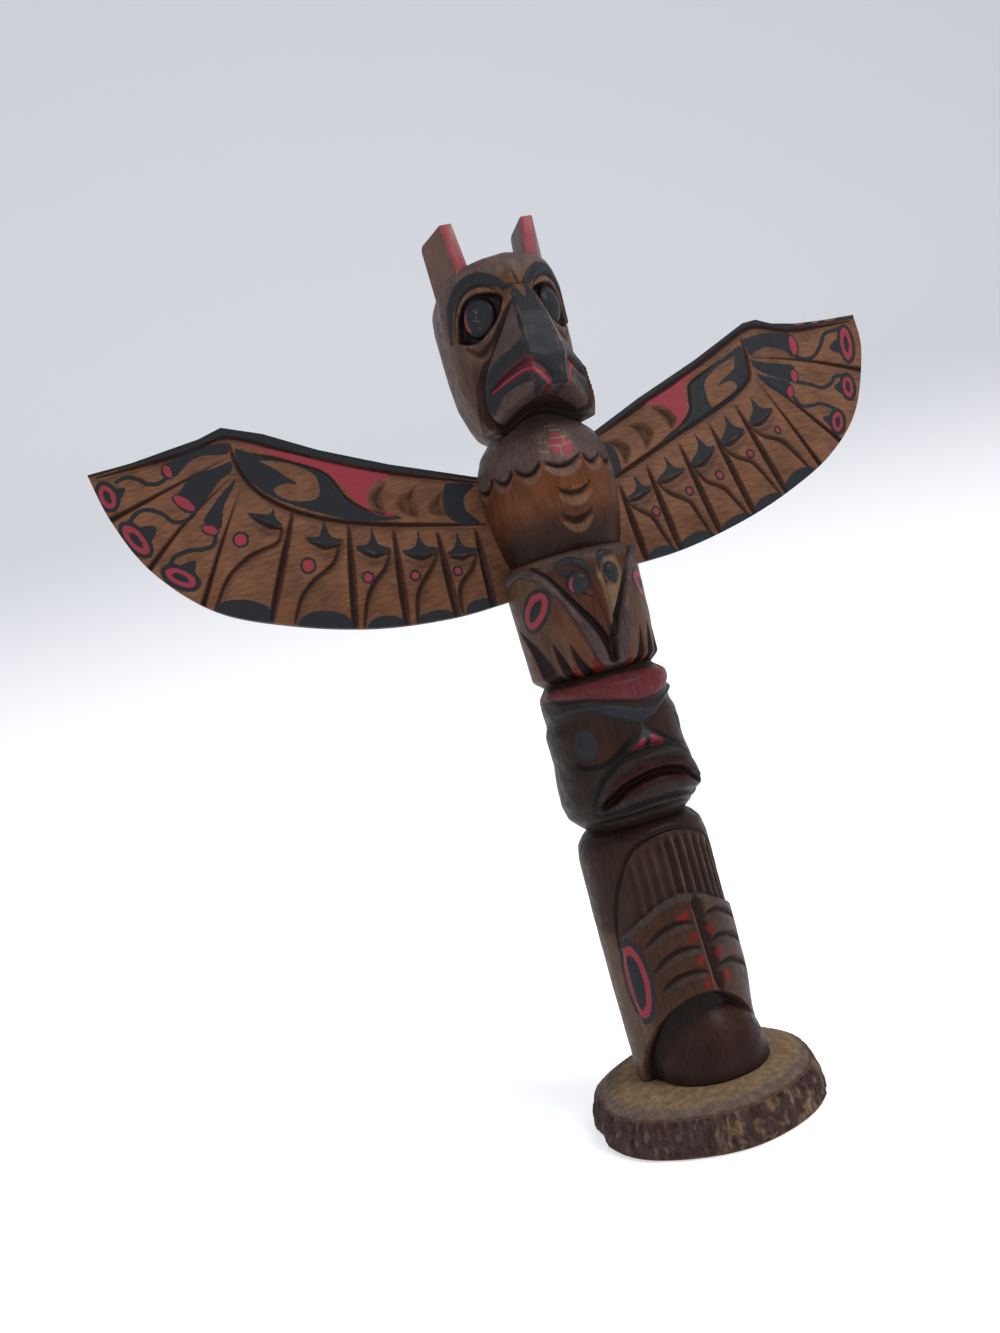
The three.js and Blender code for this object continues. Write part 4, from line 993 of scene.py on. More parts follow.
    # The cut-back arch is stained dark, a painted shade.
    work.tint(srgb(50, 34, 28), np.clip(share * 1.2, 0, 1))
    flat = np.sqrt(np.clip(1 - ((work.height - FOOT) / KNEE["tall"]) ** 2, 0, 1)) * KNEE["wide"]
    out = math.hypot(KNEE["x"], KNEE["y"])
    facing = work.turn * DEGREE - math.atan2(KNEE["x"], -KNEE["y"])
    reach = out * np.cos(facing) + np.sqrt(np.maximum(flat**2 - (out * np.sin(facing)) ** 2, 0))
    dome = np.where((np.cos(facing) > 0) & (flat > out), reach, 0)
    knee = smooth((dome - radius).ravel(), -0.2, 0.2)
    work.relief = (soft_max(radius, dome, 0.3) - work.radius).ravel()
    work.tint(srgb(74, 46, 38), knee)
    # The knee's upper right is stained lighter, a painted highlight on the dome.
    work.tint(srgb(104, 64, 44), 0.35 * knee * smooth(height, 30, 44) * smooth(turn, -20, 10))
    work.unpaint((knee > 0.4) | (share > 0.3))
    # The whole figure darkened, as darker stain and as painted shade.
    work.stain *= LOWER_SHADE
    return work.finished(seed=13)


# ---- wings ------------------------------------------------------------------------------------
ROOT = 24
WING_SWEEP = 0.157  # how much the board runs back for each millimetre out
WING_LEAN = 0.135  # and for each millimetre up
WING_FRONT = 23  # y of the board's face 100 mm out at WING_LEVEL
WING_LEVEL = 341.5
FACE_ROWS = 190  # up the front of a wing
BACK_ROWS = 24
ROOT_SLOPE = 0.44  # rise of a wing's top edge for each millimetre out, inside the pole
EDGE_RISE = 0.15  # the most that a board's relief may stand proud of it
WING_BROWN = srgb(150, 103, 76)
CUT_BROWN = srgb(78, 46, 32)
CUT_DARK = srgb(50, 28, 20)
# A mid brown laid along the lower side of the long cuts, a painted shade.
CUT_SHADE_BROWN = srgb(112, 76, 58)

# Outlines, cuts and painted shapes as (out from the axis, height) on the board's front face.
# A tee lists its top, a shoulder, an end, its middle, its other end and its other shoulder. A tip
# or an egg lists its middle, half its width and height, and its tilt outwards. A dot lists its
# middle and radius, a chip its middle and half its width.
WINGS = {
    "left": {
        "side": -1,
        "top": [(34, 322.5), (70, 338.5), (101, 354.5), (125, 369.5), (144, 378), (156, 375), (171, 373.5),
                (190, 371.5), (212, 371)],
        "lower": [(212, 371), (206, 345), (193, 316), (168, 289), (134, 272.5), (96, 261), (60, 256.5),
                  (34, 257)],
        "border": [(30, 318), (71, 334.5), (96, 346.5), (120, 360.5), (142, 372.5), (156, 371),
                   (172, 369.5), (208, 368.5)],
        "rays": [[(145, 362), (175, 354), (209, 345)], [(145, 352), (172, 335), (195, 316)],
                 [(142, 345), (157, 321), (173, 293)]],
        "covert": [(142, 369), (141, 356), (135, 342), (122, 329), (103, 318), (78, 309), (33, 297)],
        "quills": [[(120, 328), (143, 278)], [(96, 315), (106, 263)], [(76, 306), (82, 258)],
                   [(56, 300), (58, 255)], [(38, 296), (40, 256)]],
        "red_field": [(138, 368), (121, 359.5), (101, 349.5), (84, 340), (71, 333), (79, 331), (83, 327),
                      (81, 321), (74, 312), (84, 317), (90, 325), (96, 336), (102, 344), (121, 356.5)],
        "black_field": [(140, 366), (132, 361), (119, 354), (103, 344), (98, 337), (94, 327), (86, 319),
                        (71, 310.5), (90, 314), (108, 323), (126, 335), (135, 345), (140, 355)],
        "hook": [(131, 357), (117, 352), (108, 345), (105, 339), (107, 331), (114, 331), (122, 334),
                 (127, 340), (121, 342), (115, 340), (119, 345), (125, 352)],
        "crescent": [(46, 322), (33, 318), (39, 313), (40, 306), (35, 298), (45, 301), (50, 307),
                     (49, 316)],
        "scoops": [[(73, 330.5), (77, 323), (78, 314.5), (84, 320), (83, 327)],
                   [(59, 325.5), (62, 318), (63, 308.5), (71, 314), (70, 321)],
                   [(46, 320.5), (49, 315), (50, 306), (57, 309), (56, 315)]],
        "caps": [[(142, 369.5), (155, 371), (163, 371), (171, 368), (176, 366), (177, 361), (171, 359),
                  (168, 361), (163, 364.5), (156, 366), (144, 364)],
                 [(143, 360), (153, 358.5), (163, 358), (170, 352), (174, 349), (173, 343), (168, 339),
                  (161, 342), (156, 347), (151, 351.5), (144, 355)],
                 [(142.5, 351), (150, 346), (156, 341), (163, 333), (156, 328), (152, 338), (146.5, 345)]],
        "tips": [(174, 362.6, 1.8, 3.4, 15), (170, 345, 2.3, 6.2, 40), (161, 328.6, 2, 3.8, 55)],
        "tails": [[(175, 360), (179, 358), (185, 359), (188, 362), (194, 365), (199, 364)],
                  [(167, 338), (171, 336), (177, 337), (181, 342), (187, 346), (193, 346), (199, 341)],
                  [(159, 326), (161, 321), (167, 320), (173, 321), (180, 320), (184, 316)]],
        "eggs": [(205, 357.6, 5.4, 8.2, 12), (196.5, 333, 5.4, 11.2, 26), (180, 309, 5.4, 10.2, 50)],
        "tabs": [[(201, 361), (195.5, 359.6), (200, 354.5)], [(193, 339), (185.5, 336.6), (190, 330)],
                 [(180, 315), (171.5, 315.6), (174, 309)]],
        "tees": [[(129, 333.5), (129, 326), (126.5, 321.5), (134, 324), (141.5, 332), (131.5, 329)],
                 [(107, 321), (106, 311), (100.5, 307), (110, 306.5), (118, 313), (111, 312.5)],
                 [(86, 310), (85, 301), (79.5, 297), (89, 296.5), (96, 302.5), (89.5, 302.5)],
                 [(65, 303), (64, 295), (57.5, 291), (67, 289.5), (75, 294.5), (68.5, 295)],
                 [(47, 298), (46, 289.5), (39.5, 286), (48, 284.5), (55, 287.5), (50.5, 290)]],
        "dots": [(148, 320, 4), (120, 299, 4), (94, 286, 3.1), (72, 281, 2.9), (52, 278, 2.6)],
        "curls": [[(127.5, 321), (131, 314), (140, 312), (147, 310), (158, 303), (168, 289)],
                  [(103, 306), (108, 297), (119, 291), (127, 284), (133, 273)],
                  [(80.5, 296), (85, 288), (92, 282), (97, 275), (102, 262)],
                  [(58.5, 290), (63, 283), (70, 276), (74, 269), (77, 257.5)],
                  [(41, 284), (45, 277), (51, 272), (54, 266), (55, 257)]],
        "ends": [[(168, 289), (153, 290.5), (142, 278)], [(131, 272), (119, 275.5), (107, 264)],
                 [(100, 262), (90, 265.5), (82, 258)], [(77, 258), (67, 262), (59, 256.5)],
                 [(53, 257), (45, 262), (39, 257)]],
        "chips": [],
    },
    "right": {
        "side": 1,
        "top": [(34, 331), (64, 344.5), (104, 360.5), (140, 377), (149, 378), (158, 374.5), (172, 372.5),
                (190, 372), (213, 372.5)],
        "lower": [(213, 372.5), (210, 351), (192, 317), (166, 295), (132, 279.5), (98, 269), (64, 262.5),
                  (34, 260.5)],
        "border": [(30, 326), (64, 340.5), (102, 356), (138, 372.5), (150, 373.5), (160, 370.5),
                   (174, 368.5), (209, 369)],
        "rays": [[(138, 357), (172, 350), (207, 339)], [(137, 347), (156, 326), (176, 301)],
                 [(136, 345), (147, 319), (158, 290)]],
        "covert": [(136, 368), (135, 354), (130, 343), (105, 331), (78, 321), (52, 311), (33, 303.5)],
        "quills": [[(119, 332), (132, 279)], [(100, 325), (109, 271)], [(79, 317), (86, 265)],
                   [(57, 309), (61, 261)], [(39, 302), (41, 260)]],
        "red_field": [(108, 357), (97, 353), (83, 347), (67, 341), (74, 339.5), (80, 336), (82, 331),
                      (77, 324), (84, 327), (88, 332), (91, 338), (92, 345), (97, 351)],
        "black_field": [(134, 365), (119, 358), (103, 351), (96, 347), (93.5, 340), (92, 334), (86, 328),
                        (67, 318), (91, 325), (119, 335), (130, 343), (133.5, 351), (134.5, 360)],
        "hook": [(128, 359), (117, 355), (106, 348), (104, 341), (105, 333), (112, 333.5), (123, 341),
                 (122.5, 345), (118, 345.5), (112, 344), (120, 349), (126, 353)],
        "crescent": [(34, 326), (40, 324), (43, 318), (42, 308), (33, 303), (35, 313), (35, 320)],
        "scoops": [[(69, 339), (77, 338), (82.5, 330), (77, 325), (75, 331)],
                   [(53, 332), (62, 331.5), (67, 325), (60, 317), (58, 325)],
                   [(37, 325.5), (46, 325), (51.5, 319), (46, 311), (43, 319)]],
        "caps": [[(136.5, 368), (144, 369), (151, 369.5), (167, 367.5), (165, 360), (164, 353),
                  (160, 357.5), (151, 361), (143, 360), (138, 358)],
                 [(137, 356), (143, 353.5), (162, 348.5), (159.5, 343), (161, 338), (154, 341),
                  (143, 346.5), (138, 351)],
                 [(137.5, 349), (142, 345.5), (156, 339.5), (154, 334), (156, 329.5), (148, 334),
                  (141, 341)]],
        "tips": [(167, 359.8, 2.3, 5.8, 8), (161, 342.6, 1.9, 3.6, 10), (155, 334, 1.8, 3.4, 20)],
        "tails": [[(166, 353.5), (172, 351), (178, 352), (184, 357), (190, 364), (199, 365)],
                  [(162, 338.5), (169, 336), (176, 333), (183, 335), (186, 338), (192, 338)],
                  [(156, 330), (159, 325), (165, 324), (172, 324), (179, 320)]],
        "eggs": [(201.5, 356, 5.4, 12, 14), (192.5, 331, 5, 8.2, 16), (178, 312.4, 5, 7.8, 24)],
        "tabs": [[(196, 360), (189.6, 355), (196, 351)], [(189, 335), (183.5, 332), (188, 327)],
                 [(175, 316.5), (169.4, 316.4), (173, 310)]],
        "tees": [[(129, 335.5), (128.5, 328), (123.5, 320.5), (132, 320.5), (140.5, 326.5), (134, 328)],
                 [(110, 328.5), (109, 321), (102.5, 312.5), (110, 312.5), (119.5, 317.5), (114, 321)],
                 [(89, 321.5), (89, 313), (81.5, 304.5), (90, 304.5), (98.5, 311.5), (94, 313)],
                 [(68, 313), (67, 305), (59.5, 299.5), (68, 299.5), (77.5, 303.5), (72, 305)],
                 [(48, 305.5), (47, 298), (40.5, 293.5), (48, 293.5), (56.5, 297.5), (51.5, 299)]],
        "dots": [(139, 314, 2.4), (118, 304, 2.6), (96, 296, 2.8), (76, 291, 2.6), (54, 284, 2.8)],
        "curls": [[(123.5, 319), (129, 313), (139, 308), (145, 300), (152, 287)],
                  [(103, 312), (108, 305), (117, 300), (121, 294), (128, 279)],
                  [(83, 303.5), (87, 295), (96, 289), (100, 282), (106, 270)],
                  [(60, 299), (65, 292), (74, 286), (77, 278), (81, 264)],
                  [(40, 293), (44, 288), (51, 282), (54, 273), (58, 261)]],
        "ends": [[(132, 279), (141, 290), (154, 287)], [(109, 271), (118, 280), (128, 278)],
                 [(86, 265), (96, 273), (107, 271)], [(61, 261), (70, 269), (82, 265)],
                 [(42, 260), (48, 266), (58, 262)]],
        "chips": [(176, 372, 3.5), (186, 371.6, 2.4), (196, 371.8, 4.5), (208, 372.6, 4)],
    },
}

def wing_sheet(plan, step):
    """How far out and up the points of a wing's sheet lie, and what share of the board's thickness
    each row lies behind its face. The rows run up the front and down the back."""
    lower, top = curve(plan["lower"], 200)[::-1], np.array(plan["top"], float)
    tip = top[-1][0]
    innermost = [(ROOT, top[0][1] + (ROOT - top[0][0]) * ROOT_SLOPE)]
    out = np.linspace(ROOT, tip - 0.05, round((tip - ROOT) / step))
    high = np.interp(out, *np.array([*innermost, *top]).T)
    low = np.interp(out, [ROOT, *lower[:, 0]], [lower[0][1] + 1, *lower[:, 1]])
    rise = np.concatenate([np.linspace(0, 1, FACE_ROWS), [1, 1], np.linspace(1, 0, BACK_ROWS), [0, 0, 0]])
    back = np.concatenate([np.zeros(FACE_ROWS), [0.3, 0.7], np.ones(BACK_ROWS), [0.7, 0.3, 0]])
    height = low + (high - low) * rise[:, None]
    return np.broadcast_to(out, height.shape), height, back[:, None]


def carve_borders(work, plan):
    """The black strip along the top, the two long cuts, the rays and the quills."""
    inward = -plan["side"]
    for name, half in (("border", 1.5), ("covert", 1.4)):
        work.groove(plan[name], half, 1.5, run=even, colour=CUT_BROWN)
        # A band of painted shade below each long cut.
        work.stain_and_light_line(shifted(plan[name], -2.2), 0.8, CUT_SHADE_BROWN, 0.7, 0.8)
    for ray in plan["rays"]:
        work.groove(ray, 1.7, 1.7, run=widen, colour=srgb(62, 36, 26))
    for path in plan["quills"]:
        work.groove(path, 2.1, 1.8, run=quill, deepest=0.5 * inward, colour=srgb(84, 52, 38))
        # A dark line of painted shade along the steep inner wall of each quill cut.
        work.stain_and_light_line(shifted(path, 0, inward), 0.5, CUT_DARK, 0.9, 0.5, quill)
    work.paint("black", work.up - np.interp(work.across, *np.array(plan["border"]).T) - 1.0)
    for x, z, wide in plan["chips"]:
        work.bare_oval("black", x, z, wide, 0.9)
        work.blend(slice(None), TAN, smooth(work.egg(x, z, wide, 1.0), -0.1, 0.4))


def carve_upper_field(work, plan):
    """Red from the wrist inwards, black with a bare hook in it, three scoops and a crescent."""
    work.fill("red", plan["red_field"], 90)
    work.fill("black", plan["black_field"], 90)
    work.bare("black", plan["hook"], 90)
    work.groove(plan["black_field"][1:8], 1.0, 1.1, run=even, colour=CUT_BROWN)
    work.fill("black", plan["crescent"])
    for scoop in plan["scoops"]:
        work.sunk(scoop, 2.0, slope=3.4)
        near, depth = work.inside(scoop)
        # The floor of each scoop is stained darker, a painted shade.
        work.blend(near, srgb(112, 76, 54), 0.6 * smooth(depth, -0.4, 0.6))
        work.spare("red", depth + 0.3, near)


def carve_panels(work, plan):
    """Each outer panel's painted cap with a red tip, and a tail, an egg and a tab at the wing's edge."""
    for cap, tip, tail, egg, tab in zip(*(plan[k] for k in ("caps", "tips", "tails", "eggs", "tabs"))):
        work.fill("black", cap, 90)
        x, z, wide, tall, tilt = tip
        work.oval("black", x, z, wide + 0.9, tall + 0.9, tilt)
        work.oval("red", *tip)
        work.stroke("black", tail, 1.15, run=steady)
        x, z, wide, tall, tilt = egg
        work.oval("black", x, z, wide + 0.4, tall + 0.4, tilt)
        work.fill("black", tab)
        work.oval("red", x, z, wide - 1.7, tall - 2.0, tilt)
        work.bare_oval("red", x, z, wide * 0.3, tall * 0.45, tilt)


def carve_feathers(work, plan):
    """Five feathers, each with a tee, a cut under it, a dot, a curl and a black end."""
    inward = -plan["side"]
    for tee in plan["tees"]:
        work.fill("black", tee, 90)
        _, _, end, middle, far, _ = tee
        edge = sorted([(end[0], end[1] - 2.6), (middle[0], middle[1] - 3.0), (far[0], far[1] - 2.6)])
        work.groove(edge, 3.4, 2.0, deepest=0.85)
        # A dark line of painted shadow under each tee and a softer band of painted shade along the lower
        # slope of its cut.
        work.stain_and_light_line(shifted(edge, 1.8), 0.8, srgb(50, 30, 24), 0.9, 0.5, swell)
        work.stain_and_light_line(shifted(edge, -1.6), 1.8, srgb(104, 72, 56), 0.7, 1.4, swell)
    for x, z, radius in plan["dots"]:
        work.oval("black", x, z, radius, radius + 0.2)
        work.oval("red", x, z, radius - 1.15, radius - 1.0)
    for curl in plan["curls"]:
        work.groove(curl, 1.4, 1.3, run=arched(0.35, 0.5), deepest=0.6 * inward, colour=srgb(76, 46, 34))
        # A band of painted shade along one side of each curl.
        work.stain_and_light_line(shifted(curl, -0.6, -2.2 * inward), 1.0, srgb(106, 74, 58), 0.55, 1.4)
    for start, peak, end in plan["ends"]:
        middle, span = ((start[0] + end[0]) / 2, (start[1] + end[1]) / 2), math.dist(start, end) / 2
        tilt = -math.degrees(math.atan2(end[1] - start[1], end[0] - start[0]))
        work.oval("black", *middle, span + 0.6, math.dist(peak, middle), (tilt + 90) % 180 - 90)


def wing_mesh(plan, settings):
    """A wing board that is carved and painted in front and plain behind."""
    board, knife = settings.board / MM, settings.knife_marks / MM
    across, height, back = wing_sheet(plan, 1.2 * settings.fineness / MM)
    work = Carving(across, height, 1, WING_BROWN)
    work.tint(srgb(122, 88, 68), 0.5 * smooth(ripple(work.across, work.up, 60, 9), -0.2, 0.5))
    work.tint(srgb(128, 78, 46), 0.45 * (1 - smooth(work.up, 262, 300)))
    plain = work.stain.copy()
    carve_borders(work, plan)
    carve_upper_field(work, plan)
    carve_panels(work, plan)
    carve_feathers(work, plan)
    behind = np.broadcast_to(back > 0.9, work.shape).ravel()
    work.unpaint(behind)
    work.stain[behind] = plain[behind]
    relief = work.sheet(work.relief + 0.7 * knife * ripple(work.across, work.up, 12, 17))
    in_front = np.arange(len(back))[:, None] < FACE_ROWS
    relief = np.minimum(relief * in_front, EDGE_RISE)
    face = WING_FRONT + WING_SWEEP * (across - 100) + WING_LEAN * (height - WING_LEVEL)
    points = np.stack([plan["side"] * across, face + back * board - relief, height], axis=2)

    def widened(sheet):
        return np.concatenate([sheet[:, :1], sheet, sheet[:, -1:]], axis=1)

    layers = {coat: widened(work.sheet(depth)) for coat, depth in work.coats.items()}
    layers["hollow"] = widened(work.hollowness(relief))
    # The two ends close on the middle of their own rings.
    points = widened(points)
    for end in (0, -1):
        points[:, end] = points[:, end].mean(axis=0)
    return sheet_mesh("wing", points, layers, widened(work.sheet(work.stain)))


# ---- base: a slice of branch with its bark on --------------------------------------------------
BASE_RADIUS = 55
BASE_COLUMNS = 480
BARK_NOTCH = {"turn": -92, "depth": 0.05, "half": 9}
# The slice's section from the middle of its foot, up its side and to the middle of its top: the
# height, and how far inside (-) or outside (+) of the radius. The last rows are on the sawn top.
BARK_SIDE = [(0, -54.8), (0, -6), (0, -1.6), (0.5, -0.4), (2, 1.1), (9, 0.3), (14, -1.2), (16, -2.2),
             (16.8, -3.4)]
SAWN_TOP = [(-1.5, -9.5), (-0.1, -19), (-0.1, -27), (-0.1, -54.8)]


def bark_plan(turn):
    """The slice's radius at each turn, as a share of its mean: uneven, with a notch at the left."""
    notch = BARK_NOTCH["depth"] * np.exp(-(((turn - BARK_NOTCH["turn"]) / BARK_NOTCH["half"]) ** 2))
    waves = ((0.026, 1, 135), (0.012, 3, 0), (0.007, 7, 2 / DEGREE))
    return 1 - notch + sum(size * np.sin((count * turn + phase) * DEGREE) for size, count, phase in waves)


def base_mesh(settings):
    """The slice of branch: bark round its side, a chamfer, and a sawn top with its grain."""
    levels = np.array([*BARK_SIDE, *((BASE_HEIGHT + z, x) for z, x in SAWN_TOP)], float)
    run = np.concatenate([[0], np.cumsum(np.hypot(*np.diff(levels, axis=0).T))])
    foot, top = run[1], run[-3]
    steps = np.concatenate([np.linspace(0, foot, 6)[:-1], np.arange(foot, top, 0.42),
                            np.linspace(top, run[-1], 26)])
    height, radius = (np.interp(steps, run, levels[:, k]) for k in (0, 1))
    turn, height = np.meshgrid(np.linspace(-180, 180, BASE_COLUMNS + 1), height)
    radius = (BASE_RADIUS + radius[:, None]) * bark_plan(turn)
    around = turn * BASE_RADIUS * DEGREE
    side = smooth(height, 0.2, 1.2) * (1 - smooth(height, 15.6, 16.6)) * (radius > 40)
    chamfer = smooth(height, 16.0, 16.8) * smooth(radius, 45, 49)
    sawn = (height > 16.5) * (1 - chamfer)

    def bumps(size, seed, stretch=1.0):
        return ripple(around, height, size, seed, stretch)

    # The two ends of the sheet meet at the back, so the unevenness fades out there.
    fade = np.clip((180 - np.abs(turn)) / 12, 0, 1)
    furrows = np.abs(bumps(5, 31, 2.5)) + 0.5 * np.abs(bumps(2.2, 32, 2)) + 0.35 * bumps(11, 33)
    flakes = smooth(bumps(17, 34, 0.7), 0.15, 0.35) * (np.abs(turn) < 172)
    relief = side * fade * settings.bark_depth / MM * (furrows * 1.3 - 1.3 - 0.9 * flakes)
    relief += chamfer * fade * 0.2 * (bumps(3, 35) - 0.6)
    radius = radius + relief
    x, y = radius * np.sin(turn * DEGREE), -radius * np.cos(turn * DEGREE)
    grain = ripple(x * 0.5, y * 1.6, 5, 36) + 0.8 * ripple(x, y, 2.0, 37)
    height = height - sawn * np.clip(0.12 + 0.12 * grain, 0, 0.4) * (radius > 2)
    fleck = smooth(bumps(13, 39, 0.8) + 0.5 * bumps(5, 40), 0.02, 0.3)
    pale = smooth(bumps(7, 41), 0.25, 0.45)
    # The flecks and pale patches are made stronger on the front right, a painted highlight on the side the
    # light falls on.
    right = smooth(turn, -26, -2) * (1 - smooth(turn, 60, 110))
    rim = smooth(height, 15.4, 16.2) * (1 - smooth(height, 16.6, 17.4))
    stain = np.tile(np.array(settings.raw_wood), (*turn.shape, 1))
    for colour, amount in (
            (srgb(118, 92, 66), 0.5 * sawn * smooth(ripple(x, y, 9, 38), 0, 0.5)),
            (srgb(98, 84, 76), 0.9 * chamfer), (srgb(78, 56, 48), 0.9 * rim), (settings.bark, side),
            (srgb(116, 90, 62), side * fleck * right * 0.75),
            (srgb(112, 100, 86), side * pale * (0.35 + 0.4 * right)),
            (srgb(48, 34, 32), side * smooth(-furrows, -0.45, -0.1) * 0.7),
            (srgb(70, 72, 62), 0.7 * sawn * smooth(-turn, 70, 110) * smooth(radius, 36, 46))):
        stain += (np.array(colour) - stain) * amount[..., None]
    points = np.stack([x, y, height], axis=2)
    for edge in (0, -1):
        points[edge] = points[edge].mean(axis=0)
    bare = np.full(turn.size, UNPAINTED)
    layers = {"black": bare, "red": bare, "hollow": relief - blurred(relief, 4)}
    return sheet_mesh("slice", points, layers, stain)


# ---- materials ------------------------------------------------------------------------------------
class Graph:
    """Short names for the shader nodes that a material is made of."""

    def __init__(self, name):
        self.material = bpy.data.materials.get(name) or bpy.data.materials.new(name)
        self.material.use_nodes = True
        self.tree = self.material.node_tree
        self.tree.nodes.clear()
        self.place = self.node("ShaderNodeTexCoord").outputs["Object"]

    def node(self, kind, values=None, **settings):
        """A node with its settings, and with a number, a colour or a link on each socket named."""
        node = self.tree.nodes.new(kind)
        for key, value in settings.items():
            setattr(node, key, value)
        for key, value in (values or {}).items():
            self.plug(node.inputs[key], value)
        return node

    def plug(self, socket, value):
        """Links a socket, or sets its number or colour."""
        if isinstance(value, bpy.types.NodeSocket):
            self.tree.links.new(value, socket)
        elif socket.type == "RGBA":
            socket.default_value = (*value[:3], 1)
        else:
            socket.default_value = value

    def math(self, kind, a, b):
        """Arithmetic on two numbers."""
        return self.node("ShaderNodeMath", {0: a, 1: b}, operation=kind).outputs[0]

    def times(self, a, b):
        """One number times the other."""
        return self.math("MULTIPLY", a, b)

    def plus(self, a, b):
        """The two numbers added up."""
        return self.math("ADD", a, b)

    def span(self, value, low, high, start=0.0, end=1.0):
        """start below low and end above high, with a soft change between them."""
        values = {"Value": value, "From Min": low, "From Max": high, "To Min": start, "To Max": end}
        return self.node("ShaderNodeMapRange", values, interpolation_type="SMOOTHSTEP").outputs["Result"]

    def mix(self, share, a, b, kind="MIX"):
        """From colour a to colour b."""
        node = self.node("ShaderNodeMix", data_type="RGBA", blend_type=kind)
        for socket, value in zip((node.inputs[0], node.inputs[6], node.inputs[7]), (share, a, b)):
            self.plug(socket, value)
        return node.outputs[2]

    def stained(self, shade):
        """The colour of the stain and painted light that the mesh carries, lighter or darker by that shade.
        """
        grey = self.node("ShaderNodeCombineColor", {0: shade, 1: shade, 2: shade}).outputs[0]
        return self.mix(1.0, self.layer("stain", "Color"), grey, "MULTIPLY")

    def noise(self, scale, stretch=(1, 1, 1), detail=4.0, turn=0.0):
        """Noise in patches of about 1/scale millimetres, longer along an axis whose stretch is small."""
        place = self.node("ShaderNodeMapping", {
            "Vector": self.place, "Scale": [s / MM for s in stretch], "Rotation": (0, turn, 0)})
        values = {"Vector": place.outputs[0], "Scale": scale, "Detail": detail}
        return self.node("ShaderNodeTexNoise", values).outputs["Fac"]

    def layer(self, name, output="Fac"):
        """A layer of numbers or colours that the mesh carries."""
        node = self.node("ShaderNodeAttribute", attribute_name=name, attribute_type="GEOMETRY")
        return node.outputs[output]

    def finish(self, colour, rough, bump, distance, gloss=0.0):
        """The material, with a coat of varnish by its gloss."""
        normal = self.node("ShaderNodeBump", {"Height": bump, "Strength": 0.6, "Distance": distance * MM})
        return self.surface({
            "Base Color": colour, "Roughness": rough, "Normal": normal.outputs[0],
            "Specular IOR Level": 0.08, "Coat Weight": gloss, "Coat Roughness": 0.24})

    def surface(self, values):
        """The material, with its one shader set by these values."""
        shader = self.node("ShaderNodeBsdfPrincipled", values)
        self.node("ShaderNodeOutputMaterial", {"Surface": shader.outputs[0]})
        return self.material


def lighter(colour, share):
    """That many times as bright, up to white."""
    return tuple(min(1, c * share) for c in colour)


def carved_wood(name, settings, grain, gloss, rough, turn=0.0):
    """Stained wood under black and red paint that wears off its edges. grain draws the noise out."""
    g = Graph(name)
    fibre = g.noise(0.9, grain, 6, turn)
    streak = g.noise(2.4, grain, 3, turn)
    mottle = g.noise(0.09, detail=3)
    hollow = g.layer("hollow")
    shade = g.plus(g.span(fibre, 0.32, 0.7, 0.78, 1.16), g.span(mottle, 0.3, 0.7, -0.14, 0.14))
    wood = g.stained(g.times(shade, 1 - settings.stain_depth))
    # The cuts are darkened, partly as stain that gathers there and partly as painted shade; stain rubs off
    # the edges.
    wood = g.mix(g.span(hollow, -0.75, -0.08, 0.75, 0.0), wood, (0.012, 0.006, 0.005))
    rubbed = g.times(g.span(hollow, 0.2, 0.7), g.span(g.noise(0.2, detail=5), 0.45, 0.6))
    rubbed = g.times(rubbed, g.span(hollow, 0.8, 1.5, settings.wear, 0.0))
    wood = g.mix(rubbed, wood, g.mix(1.0, wood, (2.4, 2.2, 2.1), "MULTIPLY"))
    # Coats of paint, with a hand's unsteady border and the brush's streaks in them.
    unsteady = g.span(g.noise(0.55, detail=2), 0.2, 0.8, -0.22, 0.22)
    gaps = g.span(g.plus(streak, g.times(mottle, 0.35)), 0.30, 0.42, 0.55, 1.0)
    whole = g.math("SUBTRACT", 1.0, g.times(rubbed, 0.9))
    painted = 0.0
    for coat, colour, light in (("black", settings.black, 1.5), ("red", settings.red, 1.35)):
        inside = g.span(g.plus(g.layer(coat), unsteady), -0.12, 0.16)
        cover = g.times(g.times(inside, whole), g.span(gaps, 0.5, 1.0, 0.88, 1.0))
        paint = g.mix(g.span(streak, 0.45, 0.75, 0.0, 0.45), colour, lighter(colour, light))
        # Paint in the cuts is darkened too, a painted shade.
        paint = g.mix(g.span(hollow, -0.6, -0.1, 0.6, 0.0), paint, (0.01, 0.007, 0.007))
        wood = g.mix(cover, wood, paint)
        painted = g.math("MAXIMUM", painted, inside)
    bump = g.plus(g.plus(g.times(fibre, 0.5), g.times(streak, 0.3)), g.times(painted, 0.3))
    roughness = g.span(g.noise(0.25, detail=4), 0.3, 0.7, rough - 0.08, rough + 0.1)
    return g.finish(wood, roughness, bump, 0.25, gloss)


def pole_wood(settings):
    """The pole's wood, with its grain upright."""
    varnish = settings.varnish
    return carved_wood("painted_pole", settings, (1, 1, 0.07), 0.08 * varnish, 0.62 - 0.3 * varnish)


def wing_wood(settings, side):
    """A wing's wood, with its grain along the wing."""
    name = "painted_wing_" + ("left" if side < 0 else "right")
    return carved_wood(name, settings, (0.08, 1, 1), 0.05 * settings.varnish, 0.62, turn=side * 0.42)


def ear_paint(name, colour, under, settings):
    """Paint that shows the wood under it where it has worn thin."""
    g = Graph(name)
    worn = g.times(g.span(g.noise(0.22, (1, 1, 0.35), 5), 0.5, 0.7), settings.wear)
    streak = g.noise(1.2, (1, 1, 0.1), 4)
    paint = g.mix(g.span(streak, 0.3, 0.7, 0, 0.5), colour, lighter(colour, 1.5))
    return g.finish(g.mix(worn, paint, under), 0.5, streak, 0.15, 0.25)


